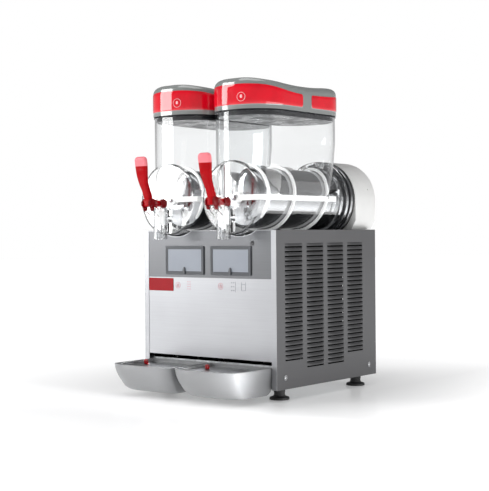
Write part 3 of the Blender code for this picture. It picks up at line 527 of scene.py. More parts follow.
def on_both_sides(source, name, body, slot, node=None, across=BOWL_X, finish=None):
    """Puts a copy of a middle-plane piece at each bowl. body and node may hold the side as {}."""
    for side, sign in SIDES.items():
        piece = moved_copy(f"{name}_{side}", source, sign * across)
        dress(piece, body.format(side), slot, (node.format(side),) if node else (), finish)
    bpy.data.objects.remove(source)


def paint_node(node, finish):
    """Gives a carried-over CAD node its finish."""
    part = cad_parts[node]
    part.data.materials.clear()
    part.data.materials.append(FINISHES[finish])


# Shader groups and finishes


def new_group(name, inputs, outputs):
    """An empty shader group. Its inputs are (label, kind, default) and its outputs (label, kind)."""
    group = bpy.data.node_groups.new(name, "ShaderNodeTree")
    for label, kind, default in inputs:
        socket = group.interface.new_socket(name=label, in_out="INPUT", socket_type=f"NodeSocket{kind}")
        if default is not None:
            socket.default_value = default
    for label, kind in outputs:
        group.interface.new_socket(name=label, in_out="OUTPUT", socket_type=f"NodeSocket{kind}")
    return group, group.nodes.new("NodeGroupInput"), group.nodes.new("NodeGroupOutput")


def add(tree, kind, inputs=(), **settings):
    """A node with some settings and with inputs set or linked, by name or number."""
    node = tree.nodes.new(f"ShaderNode{kind}")
    for key, value in settings.items():
        setattr(node, key, value)
    for key, value in dict(inputs).items():
        if isinstance(value, bpy.types.NodeSocket):
            tree.links.new(value, node.inputs[key])
        else:
            node.inputs[key].default_value = value
    return node


def maths(tree, operation, one, other=0.0):
    return add(tree, "Math", {0: one, 1: other}, operation=operation).outputs[0]


def spread(tree, value, low, high, to_low, to_high):
    """Carries a value from one range to another, and holds it there."""
    return add(tree, "MapRange", {0: value, 1: low, 2: high, 3: to_low, 4: to_high}).outputs[0]


def noise(tree, vector, scale, detail=3.0, roughness=0.55):
    return add(tree, "TexNoise", {"Vector": vector, "Scale": scale, "Detail": detail,
                                  "Roughness": roughness}).outputs[0]


def blend_colours(tree, amount, one, other):
    """A mix of two colours by an amount."""
    node = add(tree, "Mix", data_type="RGBA")
    for socket, value in ((node.inputs[0], amount), (node.inputs[6], one), (node.inputs[7], other)):
        if isinstance(value, bpy.types.NodeSocket):
            tree.links.new(value, socket)
        else:
            socket.default_value = value
    return node.outputs[2]


def group_brushed():
    """Brushed sheet: fine lines along one direction, slow patches of tone and a few deeper scratches."""
    group, given, result = new_group("brushed_sheet", (
        ("Vector", "Vector", None), ("Stretch", "Vector", (1.0, 1.0, 1.0)), ("Light", "Color", None),
        ("Dark", "Color", None), ("Smooth", "Float", 0.2), ("Rough", "Float", 0.4)),
        (("Colour", "Color"), ("Roughness", "Float"), ("Height", "Float")))
    lines_at = add(group, "VectorMath", {0: given.outputs["Vector"], 1: given.outputs["Stretch"]},
                   operation="MULTIPLY").outputs[0]
    lines = noise(group, lines_at, 1.0, 4.0, 0.7)
    scratches = spread(group, noise(group, lines_at, 0.23, 2.0, 0.4), 0.66, 0.74, 0.0, 1.0)
    patches = noise(group, given.outputs["Vector"], 7.0, 3.0, 0.5)
    tone = maths(group, "ADD", maths(group, "MULTIPLY", lines, 0.55), maths(group, "MULTIPLY", patches,
                                                                            0.45))
    tone = maths(group, "SUBTRACT", spread(group, tone, 0.3, 0.7, 0.0, 1.0),
                 maths(group, "MULTIPLY", scratches, 0.15))
    tinted = blend_colours(group, tone, given.outputs["Dark"], given.outputs["Light"])
    gloss = maths(group, "ADD", maths(group, "MULTIPLY", patches, 0.5), maths(group, "MULTIPLY", lines,
                                                                              0.5))
    span = maths(group, "SUBTRACT", given.outputs["Rough"], given.outputs["Smooth"])
    roughness = maths(group, "ADD", given.outputs["Smooth"], maths(group, "MULTIPLY", span, gloss))
    group.links.new(tinted, result.inputs["Colour"])
    group.links.new(roughness, result.inputs["Roughness"])
    group.links.new(maths(group, "SUBTRACT", lines, scratches), result.inputs["Height"])


def group_moulded():
    """Moulded plastic: a very fine grain, faint flow marks, and patches that hands and cloths have rubbed."""
    group, given, result = new_group("moulded_plastic", (
        ("Vector", "Vector", None), ("Grain", "Float", 900.0), ("Light", "Color", None),
        ("Dark", "Color", None),
        ("Smooth", "Float", 0.2), ("Rough", "Float", 0.4)),
        (("Colour", "Color"), ("Roughness", "Float"), ("Height", "Float")))
    grain = noise(group, given.outputs["Vector"], given.outputs["Grain"], 2.0, 0.5)
    flow = noise(group, given.outputs["Vector"], 34.0, 3.0, 0.45)
    rubbed = spread(group, noise(group, given.outputs["Vector"], 26.0, 5.0, 0.6), 0.42, 0.62, 0.0, 1.0)
    tone = maths(group, "ADD", maths(group, "MULTIPLY", flow, 0.75), maths(group, "MULTIPLY", grain, 0.25))
    tinted = blend_colours(group, spread(group, tone, 0.3, 0.7, 0.0, 1.0), given.outputs["Dark"],
                           given.outputs["Light"])
    span = maths(group, "SUBTRACT", given.outputs["Rough"], given.outputs["Smooth"])
    roughness = maths(group, "ADD", given.outputs["Smooth"], maths(group, "MULTIPLY", span, rubbed))
    group.links.new(tinted, result.inputs["Colour"])
    group.links.new(roughness, result.inputs["Roughness"])
    group.links.new(grain, result.inputs["Height"])


def group_wiped():
    """Gloss surfaces: faint wiping streaks, as a roughness and a height."""
    group, given, result = new_group("wiped_gloss", (
        ("Vector", "Vector", None), ("Smooth", "Float", 0.01), ("Rough", "Float", 0.08)),
        (("Roughness", "Float"), ("Height", "Float")))
    streak_at = add(group, "VectorMath", {0: given.outputs["Vector"], 1: (40.0, 40.0, 9.0)},
                    operation="MULTIPLY").outputs[0]
    streaks = spread(group, noise(group, streak_at, 1.0, 3.0, 0.6), 0.5, 0.75, 0.0, 1.0)
    span = maths(group, "SUBTRACT", given.outputs["Rough"], given.outputs["Smooth"])
    roughness = maths(group, "ADD", given.outputs["Smooth"], maths(group, "MULTIPLY", span, streaks))
    group.links.new(roughness, result.inputs["Roughness"])
    group.links.new(noise(group, given.outputs["Vector"], 18.0, 2.0, 0.5), result.inputs["Height"])


def group_splayed():
    """Galvanised sheet: angular crystals, each with its own tone."""
    group, given, result = new_group("galvanised_crystals", (
        ("Vector", "Vector", None), ("Light", "Color", None), ("Dark", "Color", None)),
        (("Colour", "Color"), ("Roughness", "Float"), ("Height", "Float")))
    cells = add(group, "TexVoronoi", {"Vector": given.outputs["Vector"], "Scale": 130.0})
    tone = add(group, "SeparateColor", {0: cells.outputs["Color"]}).outputs[0]
    group.links.new(blend_colours(group, tone, given.outputs["Dark"], given.outputs["Light"]),
                    result.inputs["Colour"])
    group.links.new(spread(group, tone, 0.0, 1.0, 0.32, 0.55), result.inputs["Roughness"])
    group.links.new(cells.outputs["Distance"], result.inputs["Height"])


def group_fins():
    """A block of thin fins: dark gaps between bright edges along Y, with bent places."""
    group, given, result = new_group("fin_block", (
        ("Vector", "Vector", None), ("Light", "Color", None), ("Dark", "Color", None)),
        (("Colour", "Color"), ("Roughness", "Float"), ("Height", "Float")))
    fins = add(group, "TexWave", {"Vector": given.outputs["Vector"], "Scale": 110.0, "Distortion": 0.6,
                                  "Detail": 2.0}, bands_direction="Y").outputs["Fac"]
    group.links.new(blend_colours(group, fins, given.outputs["Dark"], given.outputs["Light"]),
                    result.inputs["Colour"])
    group.links.new(spread(group, fins, 0.0, 1.0, 0.6, 0.3), result.inputs["Roughness"])
    group.links.new(fins, result.inputs["Height"])


def shade(rgb, factor=1.0):
    """A colour, darkened, as the four numbers that a socket takes."""
    return (*(channel * factor for channel in rgb), 1.0)


FINISHES = {}


def new_finish(name):
    """A material with one Principled shader: (tree, shader, the piece's own coordinates)."""
    finish = FINISHES[name] = bpy.data.materials.new(name)
    finish.use_nodes = True
    tree = finish.node_tree
    return tree, tree.nodes["Principled BSDF"], tree.nodes.new("ShaderNodeTexCoord").outputs["Object"]


def patterned(name, group, rgb, dark=0.8, height=0.0, distance=0.0003, sockets=(), **values):
    """A finish whose colour, roughness and bump come from a shader group. sockets are shader values."""
    tree, shader, place = new_finish(name)
    node = tree.nodes.new("ShaderNodeGroup")
    node.node_tree = bpy.data.node_groups[group]
    tree.links.new(place, node.inputs["Vector"])
    node.inputs["Light"].default_value = shade(rgb)
    node.inputs["Dark"].default_value = shade(rgb, dark)
    for key, value in values.items():
        node.inputs[key].default_value = value
    tree.links.new(node.outputs["Colour"], shader.inputs["Base Color"])
    tree.links.new(node.outputs["Roughness"], shader.inputs["Roughness"])
    if height:
        bump = add(tree, "Bump", {"Height": node.outputs["Height"], "Strength": height,
                                  "Distance": distance})
        tree.links.new(bump.outputs[0], shader.inputs["Normal"])
    for key, value in dict(sockets).items():
        shader.inputs[key].default_value = value
    return tree, shader, node


GLOSS_SOCKETS = {"ior": "IOR", "level": "Specular IOR Level", "weight": "Coat Weight",
                 "roughness": "Coat Roughness", "coat_ior": "Coat IOR"}


def gloss(**values):
    """Plain shader values that set how a surface reflects."""
    return tuple((GLOSS_SOCKETS[key], value) for key, value in values.items())


def clear_finish(rgb):
    """Clear plastic with faint wiping streaks and painted shade along its edges where it is seen edge-on. Lamps
    reach through it by the Light Path switch.
    """
    tree, shader, place = new_finish("clear_plastic")
    node = tree.nodes.new("ShaderNodeGroup")
    node.node_tree = bpy.data.node_groups["wiped_gloss"]
    tree.links.new(place, node.inputs["Vector"])
    node.inputs["Smooth"].default_value = 0.0
    node.inputs["Rough"].default_value = 0.004
    tree.links.new(node.outputs["Roughness"], shader.inputs["Roughness"])
    bump = add(tree, "Bump", {"Height": node.outputs["Height"], "Strength": 0.02, "Distance": 0.0003})
    tree.links.new(bump.outputs[0], shader.inputs["Normal"])
    for key, value in (("IOR", 1.47), ("Transmission Weight", 1.0)):
        shader.inputs[key].default_value = value
    # Painted shade: the colour darkens to 0.3 of the tint where the surface is seen edge-on.
    facing = add(tree, "LayerWeight", {"Blend": 0.5}).outputs["Facing"]
    edge = spread(tree, facing, 0.72, 0.99, 0.0, 1.0)
    tree.links.new(blend_colours(tree, edge, shade(rgb), shade(rgb, 0.30)), shader.inputs["Base Color"])
    path = tree.nodes.new("ShaderNodeLightPath")
    through = add(tree, "BsdfTransparent", {"Color": shade(rgb, 0.96)})
    switch = add(tree, "MixShader", {0: path.outputs["Is Shadow Ray"], 1: shader.outputs[0],
                                     2: through.outputs[0]})
    tree.links.new(switch.outputs[0], tree.nodes["Material Output"].inputs["Surface"])


def handle_finish(red, pink, tip):
    """Glossy red that turns pale above a height, with a short soft change: the pale end is a painted highlight.
    """
    tree, shader, node = patterned("tap_handle_red", "moulded_plastic", red, 0.82, 0.05, 0.0002,
                                   gloss(ior=1.4, level=0.10),
                                   Smooth=0.10, Rough=0.17, Grain=500.0)
    place = [n for n in tree.nodes if n.type == "TEX_COORD"][0].outputs["Object"]
    height = add(tree, "SeparateXYZ", {0: place}).outputs[2]
    # Painted highlight: above the tip height the red turns to the pale pink of the lit top.
    pale = spread(tree, height, tip - 0.0006, tip + 0.0006, 0.0, 1.0)
    tree.links.new(blend_colours(tree, pale, node.outputs["Colour"], shade(pink)),
                   shader.inputs["Base Color"])


def make_finishes(colours):
    """Every finish of the machine, by name."""
    for build in (group_brushed, group_moulded, group_wiped, group_splayed, group_fins):
        build()
    across, along, around = (6.0, 700.0, 900.0), (900.0, 6.0, 700.0), (700.0, 9.0, 700.0)
    for name, rgb, dark, height, stretch, metallic, smooth, rough in (
            ("front_steel", colours.front_steel, 0.86, 0.10, across, 1.0, 0.26, 0.42),
            ("upper_steel", colours.upper_steel, 0.84, 0.10, across, 1.0, 0.28, 0.44),
            ("satin_steel", colours.front_steel, 0.84, 0.10, across, 1.0, 0.22, 0.38),
            ("side_steel", colours.side_steel, 0.85, 0.10, along, 0.65, 0.40, 0.55),
            ("polished_steel", colours.bright_steel, 0.92, 0.04, around, 1.0, 0.06, 0.14)):
        patterned(name, "brushed_sheet", rgb, dark, height, 0.0001, (("Metallic", metallic),),
                  Stretch=stretch, Smooth=smooth, Rough=rough)
    metal = (("Metallic", 1.0),)
    patterned("galvanised_sheet", "galvanised_crystals", (0.52, 0.54, 0.55), 0.62, 0.08, 0.0001, metal)
    patterned("condenser_fins", "fin_block", (0.60, 0.61, 0.62), 0.10, 0.5, 0.0008, metal)
    coat = gloss(weight=0.35, roughness=0.08)
    # Painted glow: the white plastic of the augers and plungers gives off faint light of its own, so it looks
    # brighter.
    painted_glow = (("Emission Color", (1.0, 1.0, 1.0, 1.0)), ("Emission Strength", 0.22))
    red_glass = gloss(ior=1.5, weight=0.5, roughness=0.05) + (("Transmission Weight", 0.25),)
    for name, rgb, dark, height, distance, smooth, rough, grain, sockets in (
            ("grey_lid_plastic", colours.lid_grey, 0.98, 0.02, 0.0001, 0.10, 0.18, 900.0,
             gloss(level=0.3, weight=1.0, roughness=0.02, coat_ior=1.8)),
            ("grey_tray_plastic", colours.tray_grey, 0.99, 0.01, 0.0001, 0.28, 0.34, 900.0, coat),
            ("white_plastic", colours.auger_white, 0.96, 0.05, 0.0001, 0.20, 0.36, 900.0, coat + painted_glow),
            ("cover_plastic", colours.cover_white, 0.94, 0.06, 0.0001, 0.28, 0.45, 700.0, coat),
            ("red_band", colours.band_red, 0.80, 0.03, 0.0001, 0.10, 0.16, 900.0,
             gloss(level=0.05, weight=0.8, roughness=0.02, coat_ior=1.7)),
            ("plate_red", (0.36, 0.008, 0.014), 0.85, 0.03, 0.0001, 0.35, 0.50, 900.0, gloss(level=0.15)),
            ("pale_mark", (0.88, 0.50, 0.52), 0.9, 0.02, 0.0001, 0.20, 0.30, 900.0, coat),
            ("red_ink", (0.50, 0.14, 0.16), 0.8, 0.02, 0.0001, 0.35, 0.50, 900.0, ()),
            ("grey_ink", (0.20, 0.20, 0.22), 0.8, 0.02, 0.0001, 0.35, 0.50, 900.0, ()),
            ("translucent_red", colours.tap_red, 0.7, 0.04, 0.0001, 0.10, 0.20, 500.0, red_glass),
            ("knob_red", (0.20, 0.001, 0.004), 0.6, 0.08, 0.0002, 0.15, 0.25, 900.0,
             gloss(ior=1.4, level=0.3)),
            ("dark_plastic", (0.016, 0.017, 0.020), 0.75, 0.06, 0.0002, 0.24, 0.42, 900.0,
             gloss(level=0.15)),
            ("label_frame_grey", colours.frame_grey, 0.8, 0.08, 0.0002, 0.35, 0.52, 900.0, ()),
            ("label_card", colours.card_grey, 0.93, 0.0, 0.0001, 0.34, 0.45, 900.0,
             gloss(weight=0.15, roughness=0.1)),
            # Near-black for the sheets behind the louvres: painted shade.
            ("filter_felt", (0.004, 0.004, 0.004), 0.5, 0.3, 0.0004, 0.70, 0.90, 500.0, gloss(level=0.05)),
            ("black_rubber", (0.018, 0.018, 0.019), 0.6, 0.15, 0.0002, 0.45, 0.70, 600.0, ()),
            ("seal_rubber", colours.rubber_grey, 0.7, 0.12, 0.0002, 0.38, 0.60, 600.0, ()),
            ("black_paint", (0.022, 0.022, 0.024), 0.7, 0.12, 0.0003, 0.28, 0.45, 300.0,
             gloss(weight=0.3, roughness=0.2)),
            ("copper_grey", (0.10, 0.10, 0.11), 0.7, 0.1, 0.0002, 0.30, 0.50, 900.0, ())):
        patterned(name, "moulded_plastic", rgb, dark, height, distance, sockets,
                  Smooth=smooth, Rough=rough, Grain=grain)
    handle_finish(colours.tap_red, colours.tip_pink, bpy.context.scene.slush_tap.tip_height)
    clear_finish(colours.clear_tint)


# Pieces


class SLUSH_OT_finishes(bpy.types.Operator):
    """Makes the finishes that every piece uses."""

    bl_idname = "slush.finishes"
    bl_label = "Finishes"

    def execute(self, context):
        make_finishes(context.scene.slush_finish)
        return {"FINISHED"}


CARRIED_OVER = {
    "left_side_panel": "side_steel", "right_side_panel": "side_steel", "rear_panel": "side_steel",
    "top_deck": "upper_steel", "upper_front_panel": "upper_steel", "lower_front_panel": "front_steel",
    "base_pan": "galvanised_sheet", "compressor": "black_paint", "condenser": "condenser_fins",
    "fan_blade": "dark_plastic", "fan_motor": "black_paint", "control_box": "copper_grey",
    "power_inlet": "black_rubber", "gearmotor_left": "black_paint", "gearmotor_right": "black_paint",
}


class SLUSH_OT_sheets(bpy.types.Operator):
    """Gives the casing's sheets and the parts inside it their finishes."""

    bl_idname = "slush.sheets"
    bl_label = "Casing sheets"

    def execute(self, context):
        for node, finish in CARRIED_OVER.items():
            paint_node(node, finish)
        return {"FINISHED"}


LOUVRE_COLUMNS = ((0.0285, 25), (0.1030, 27), (0.1775, 27), (0.2520, 25))


def louvre_hood(casing, sign):
    """One pressed hood above a slot, its lip at height 0.

    With u along the hood and v down it, it stands out by depth (1 - (2u - 1)^6) sin(v pi/2)^0.9.
    """
    u, v = np.linspace(0.0, 1.0, 9)[None, :], np.linspace(0.0, 1.0, 4)[:, None]
    stands = casing.hood_depth * (1.0 - (2.0 * u - 1.0) ** 6) * np.sin(v * math.pi / 2) ** 0.9
    along = np.broadcast_to(FRONT + u * casing.louvre_length, stands.shape)
    height = np.broadcast_to((1.0 - v) * 0.0057, stands.shape)
    outer = np.stack([sign * (CASE_HALF + stands + 0.00005), along, height], axis=-1)
    inner = np.stack([sign * (CASE_HALF + stands - 0.0006), along, height], axis=-1)
    return slab(outer, inner)


class SLUSH_OT_louvres(bpy.types.Operator):
    """Presses a hood over every louvre slot and hangs a black sheet behind each column: painted shade that keeps
    the slots dark inside.
    """

    bl_idname = "slush.louvres"
    bl_label = "Louvre hoods"

    def execute(self, context):
        casing = context.scene.slush_casing
        shifts = [(0.0, depth,
                   casing.louvre_top - row * casing.louvre_pitch + casing.louvre_slot / 2 - 0.0002)
                  for depth, rows in LOUVRE_COLUMNS for row in range(rows)]
        for side, sign in SIDES.items():
            hoods = solid(f"louvre_hoods_{side}", repeated(*louvre_hood(casing, sign), shifts))
            smoothed(hoods, 40.0, weighted=False)
            dress(hoods, "casing", "side_steel")
            # Painted shade: a black sheet inside the casing behind each louvre column, so the slots look dark.
            sheets = [block((sign * (CASE_HALF - 0.0052), FRONT + depth - 0.003, CASE_BASE + 0.0120),
                            (sign * (CASE_HALF - 0.0044), FRONT + depth + casing.louvre_length + 0.003,
                             casing.louvre_top + 0.0100)) for depth, rows in LOUVRE_COLUMNS]
            dress(solid(f"dust_filter_{side}", *sheets), "casing", "black_rubber", finish="filter_felt")
        return {"FINISHED"}


def panel_edge(casing):
    """The upper panel's top edge (across, height): level, with a circular dip under each bowl's axis."""
    across = np.linspace(-CASE_HALF + 0.0132, CASE_HALF - 0.0132, 361)
    reach = casing.scallop**2 - (np.abs(across) - BOWL_X) ** 2
    dip = AXIS - np.sqrt(np.maximum(reach, 0.0))
    return np.stack([across, np.minimum(CASE_TOP, dip)], axis=-1)


def tube(path, radius, sides=10):
    """(points, faces) of a round rod along a path of points.

    At each point the circle lies across the path, in the plane of two directions at right angles to it.
    """
    path = np.asarray(path, float)
    along = np.gradient(path, axis=0)
    along /= np.linalg.norm(along, axis=1, keepdims=True)
    away = np.cross(along, (0.0, 1.0, 0.0))
    away /= np.linalg.norm(away, axis=1, keepdims=True)
    third = np.cross(along, away)
    angle = np.linspace(0.0, math.tau, sides, endpoint=False)[None, :, None]
    return skin(path[:, None] + radius * (np.cos(angle) * away[:, None] + np.sin(angle) * third[:, None]))


class SLUSH_OT_front_trim(bpy.types.Operator):
    """Makes the rolled edge, the bright corner strips, the label windows, and the red plate and signs."""

    bl_idname = "slush.front_trim"
    bl_label = "Front trim"

    def execute(self, context):
        casing = context.scene.slush_casing
        edge = panel_edge(casing)
        path = np.stack([edge[:, 0], np.full(len(edge), FRONT + 0.0011), edge[:, 1] - 0.0002], axis=-1)
        lip = smoothed(solid("rolled_panel_edge", tube(path, casing.lip)), 60.0, weighted=False)
        dress(lip, "casing", "satin_steel")
        for side, sign in SIDES.items():
            self.corner_strip(side, sign)
            self.label(side)
        self.plate(casing)
        self.marks()
        return {"FINISHED"}

    def corner_strip(self, side, sign):
        """A bright folded strip over the side panel's front flange."""
        outline = softened([(sign * (CASE_HALF - 0.0126), FRONT - 0.0003),
                            (sign * CASE_HALF, FRONT - 0.0003),
                            (sign * CASE_HALF, FRONT + 0.0005), (sign * (CASE_HALF - 0.0126),
                                                                 FRONT + 0.0005)],
                           0.00035)
        strip = solid(f"corner_strip_{side}", pushed(outline, (CASE_BASE + 0.0002, CASE_TOP - 0.0002),
                                                     "XY"))
        dress(smoothed(strip), "casing", "satin_steel", finish="front_steel")

    def label(self, side):
        """A frame, as a profile carried round a rounded rectangle, and the card and pull tab in it."""
        low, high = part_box(f"label_frame_{side}")
        x, z = (low.x + high.x) / 2, (low.z + high.z) / 2
        wide, tall = (high.x - low.x) / 2, (high.z - low.z) / 2
        bar = 0.0067
        profile = [(0.0, high.y), (0.0, low.y + 0.0007), (0.0007, low.y), (bar * 0.45, low.y),
                   (bar * 0.55, low.y + 0.0005), (bar - 0.0006, low.y + 0.0005), (bar, low.y + 0.0011),
                   (bar, high.y)]
        inset = np.array([point[0] for point in profile + profile[:1]])
        outlines = rounded_rectangle(wide - inset, inset - tall, tall - inset,
                                     np.maximum(0.0022 - inset * 0.2, 0.0008), 5)
        depth = np.array([point[1] for point in profile + profile[:1]])[:, None]
        grid = np.stack([x + outlines[..., 0], np.broadcast_to(depth, outlines.shape[:2]),
                         z + outlines[..., 1]], axis=-1)
        ring = smoothed(solid(f"window_frame_{side}", skin(grid, ends=False)))
        dress(ring, "casing", "label_frame_grey", (f"label_frame_{side}",))
        u = np.linspace(-1.0, 1.0, 17)[None, :] * (wide - bar - 0.0003)
        v = np.linspace(-1.0, 1.0, 11)[:, None] * (tall - bar - 0.0003)
        crown = 0.0003 * (1 - (u / wide) ** 2) * (1 - (v / tall) ** 2)
        face = np.stack([x + u + 0 * v, low.y + 0.0013 - crown, z + v + 0 * u], axis=-1)
        back = face.copy()
        back[..., 1] = high.y
        card = smoothed(solid(f"flavour_card_{side}", slab(face, back)))
        dress(card, "casing", "label_card", (f"label_card_{side}",))
        tab_levels = np.array([(0.0035, 0.0000, 0.0026), (0.0034, 0.0060, 0.0028), (0.0026, 0.0120, 0.0020),
                               (0.0014, 0.0150, 0.0010)])
        tab_outline = rounded_rectangle(tab_levels[:, 0], -tab_levels[:, 2], np.full(4, 0.0004),
                                        tab_levels[:, 2] * 0.4, 4)
        heights = np.broadcast_to((low.z + 0.0006 + tab_levels[:, 1])[:, None], tab_outline.shape[:2])
        grid = np.stack([x + tab_outline[..., 0], low.y + 0.0004 + tab_outline[..., 1], heights], axis=-1)
        tab = smoothed(solid(f"window_tab_{side}", skin(grid)))
        dress(tab, "casing", "label_frame_grey")

    def plate(self, casing):
        """A plain red plate with rounded edges."""
        half, tall = (casing.plate_right - casing.plate_left) / 2, (casing.plate_high - casing.plate_low) / 2
        x, z = casing.plate_left + half, casing.plate_low + tall
        inset = np.array([0.0, 0.0, 0.0003, 0.0008])
        outlines = rounded_rectangle(half - inset, inset - tall, tall - inset, np.full(4, 0.0014), 5)
        depth = (FRONT + np.array([0.0004, -0.0003, -0.0007, -0.0008]))[:, None]
        grid = np.stack([x + outlines[..., 0], np.broadcast_to(depth, outlines.shape[:2]),
                         z + outlines[..., 1]], axis=-1)
        dress(smoothed(solid("front_plate", skin(grid))), "casing", "red_band", finish="plate_red")

    def marks(self):
        """The small printed signs under the windows: rings, dots, bars and a glass outline, all generic."""
        near, far = FRONT + 0.0002, FRONT + 0.0005

        def ring(x, z, outer, inner):
            angle = np.linspace(0.0, math.tau, 33)[None, :]
            radius = np.array([[outer], [inner]])
            sheets = [np.stack([x + radius * np.cos(angle), np.full((2, 33), y),
                                z + radius * np.sin(angle)],
                               axis=-1) for y in (near, far)]
            return slab(*sheets)

        def bar(x, z, half, tall):
            return block((x - half, near, z - tall), (x + half, far, z + tall))

        z = 0.2290
        red, grey = [], []
        for x in (-0.0830, 0.0350):
            red += [ring(x, z, 0.0068, 0.0060), ring(x, z - 0.0008, 0.0030, 0.0016),
                    bar(x, z + 0.0030, 0.0005, 0.0016)]
        red += [bar(-0.0520 + across, z + up, 0.0022, 0.0005) for across in (-0.0030, 0.0030)
                for up in (-0.0075, -0.0025, 0.0025, 0.0075)]
        grey += [bar(0.0670 + across, z + up, 0.0014, 0.0011) for across in (-0.0025, 0.0030)
                 for up in (-0.0080, 0.0, 0.0080)]
        grey += [bar(0.0745, z, 0.0003, 0.0105), bar(0.0905, z + 0.0010, 0.0004, 0.0085),
                 bar(0.1010, z + 0.0010, 0.0004, 0.0085), bar(0.0958, z - 0.0078, 0.0049, 0.0004),
                 bar(0.0958, z + 0.0050, 0.0042, 0.0004)]
        dress(solid("red_signs", *red), "casing", "red_band", finish="red_ink")
        dress(solid("grey_signs", *grey), "casing", "label_frame_grey", finish="grey_ink")


class SLUSH_OT_feet(bpy.types.Operator):
    """Turns the rubber feet and the domed screws with their hexagon sockets."""

    bl_idname = "slush.feet"
    bl_label = "Feet and screws"

    def execute(self, context):
        for end in ("front", "rear"):
            for side in SIDES:
                place = middle(f"foot_{end}_{side}")
                self.foot(f"rubber_foot_{end}_{side}", place, f"foot_{end}_{side}")
                node = f"side_screw_{end}_{side}"
                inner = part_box(node)[0 if side == "right" else 1].x
                self.screw(f"casing_screw_{end}_{side}", (inner, middle(node).y, middle(node).z),
                           "X", SIDES[side], node)
        place = middle("panel_screw")
        self.screw("front_screw", (place.x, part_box("panel_screw")[1].y, place.z), "Y", -1, "panel_screw")
        return {"FINISHED"}

    def foot(self, name, place, node):
        """A turned pad with a rounded rim, a waist and a ribbed stem."""
        profile = [(0.0, 0.0), (0.0, 0.0196), *arc((0.0010, 0.0196), 0.0009, 180, 90, 4),
                   (0.0040, 0.0203), (0.0052, 0.0194), (0.0068, 0.0150), (0.0076, 0.0124), (0.0100, 0.0118),
                   (0.0104, 0.0112), (0.0150, 0.0112), (0.0154, 0.0118), (0.0200, 0.0118), (0.0204, 0.0112),
                   (0.0232, 0.0110), (0.0237, 0.0104), (0.0237, 0.0)]
        foot = solid(name, turned(profile, (place.x, place.y, 0.0), "Z", 48))
        dress(smoothed(foot, 40.0), "casing", "black_rubber", (node,))

    def screw(self, name, place, axis, sign, node):
        """A turned dome on a thin washer, with a six-sided socket cut in it."""
        dome = [(0.0, 0.0), (0.0, 0.0052), (0.0004, 0.0052), (0.0005, 0.0040), (0.0008, 0.0040),
                *[(0.0008 + 0.0015 * math.sin(a), 0.0040 * math.cos(a)) for a in np.linspace(0.1,
                                                                                             math.pi / 2,
                                                                                             9)]]
        head = solid(name, turned([(sign * along, radius) for along, radius in dome], place, axis, 40))
        socket = solid("socket", rod((sign * 0.0013, sign * 0.0040), 0.0017, place, axis, 6))
        finish = "side_steel" if axis == "Y" else "polished_steel"
        dress(smoothed(cut(head, socket), 30.0), "casing", "polished_steel", (node,), finish=finish)


HOPPER_LEVELS = ((0.4105, 0.0750, -0.0200, 0.2660, 0.0660), (0.4500, 0.0783, -0.0218, 0.2700, 0.0695),
                 (0.4960, 0.0790, -0.0222, 0.2738, 0.0700), (0.5250, 0.0793, -0.0223, 0.2778, 0.0703),
                 (0.5850, 0.0795, -0.0225, 0.2780, 0.0705))
EAR = ((-0.0500, 0.3740), (-0.0500, 0.3910), (-0.0780, 0.4080), (-0.0920, 0.4080), (-0.0920, 0.3930),
       (-0.0660, 0.3740))


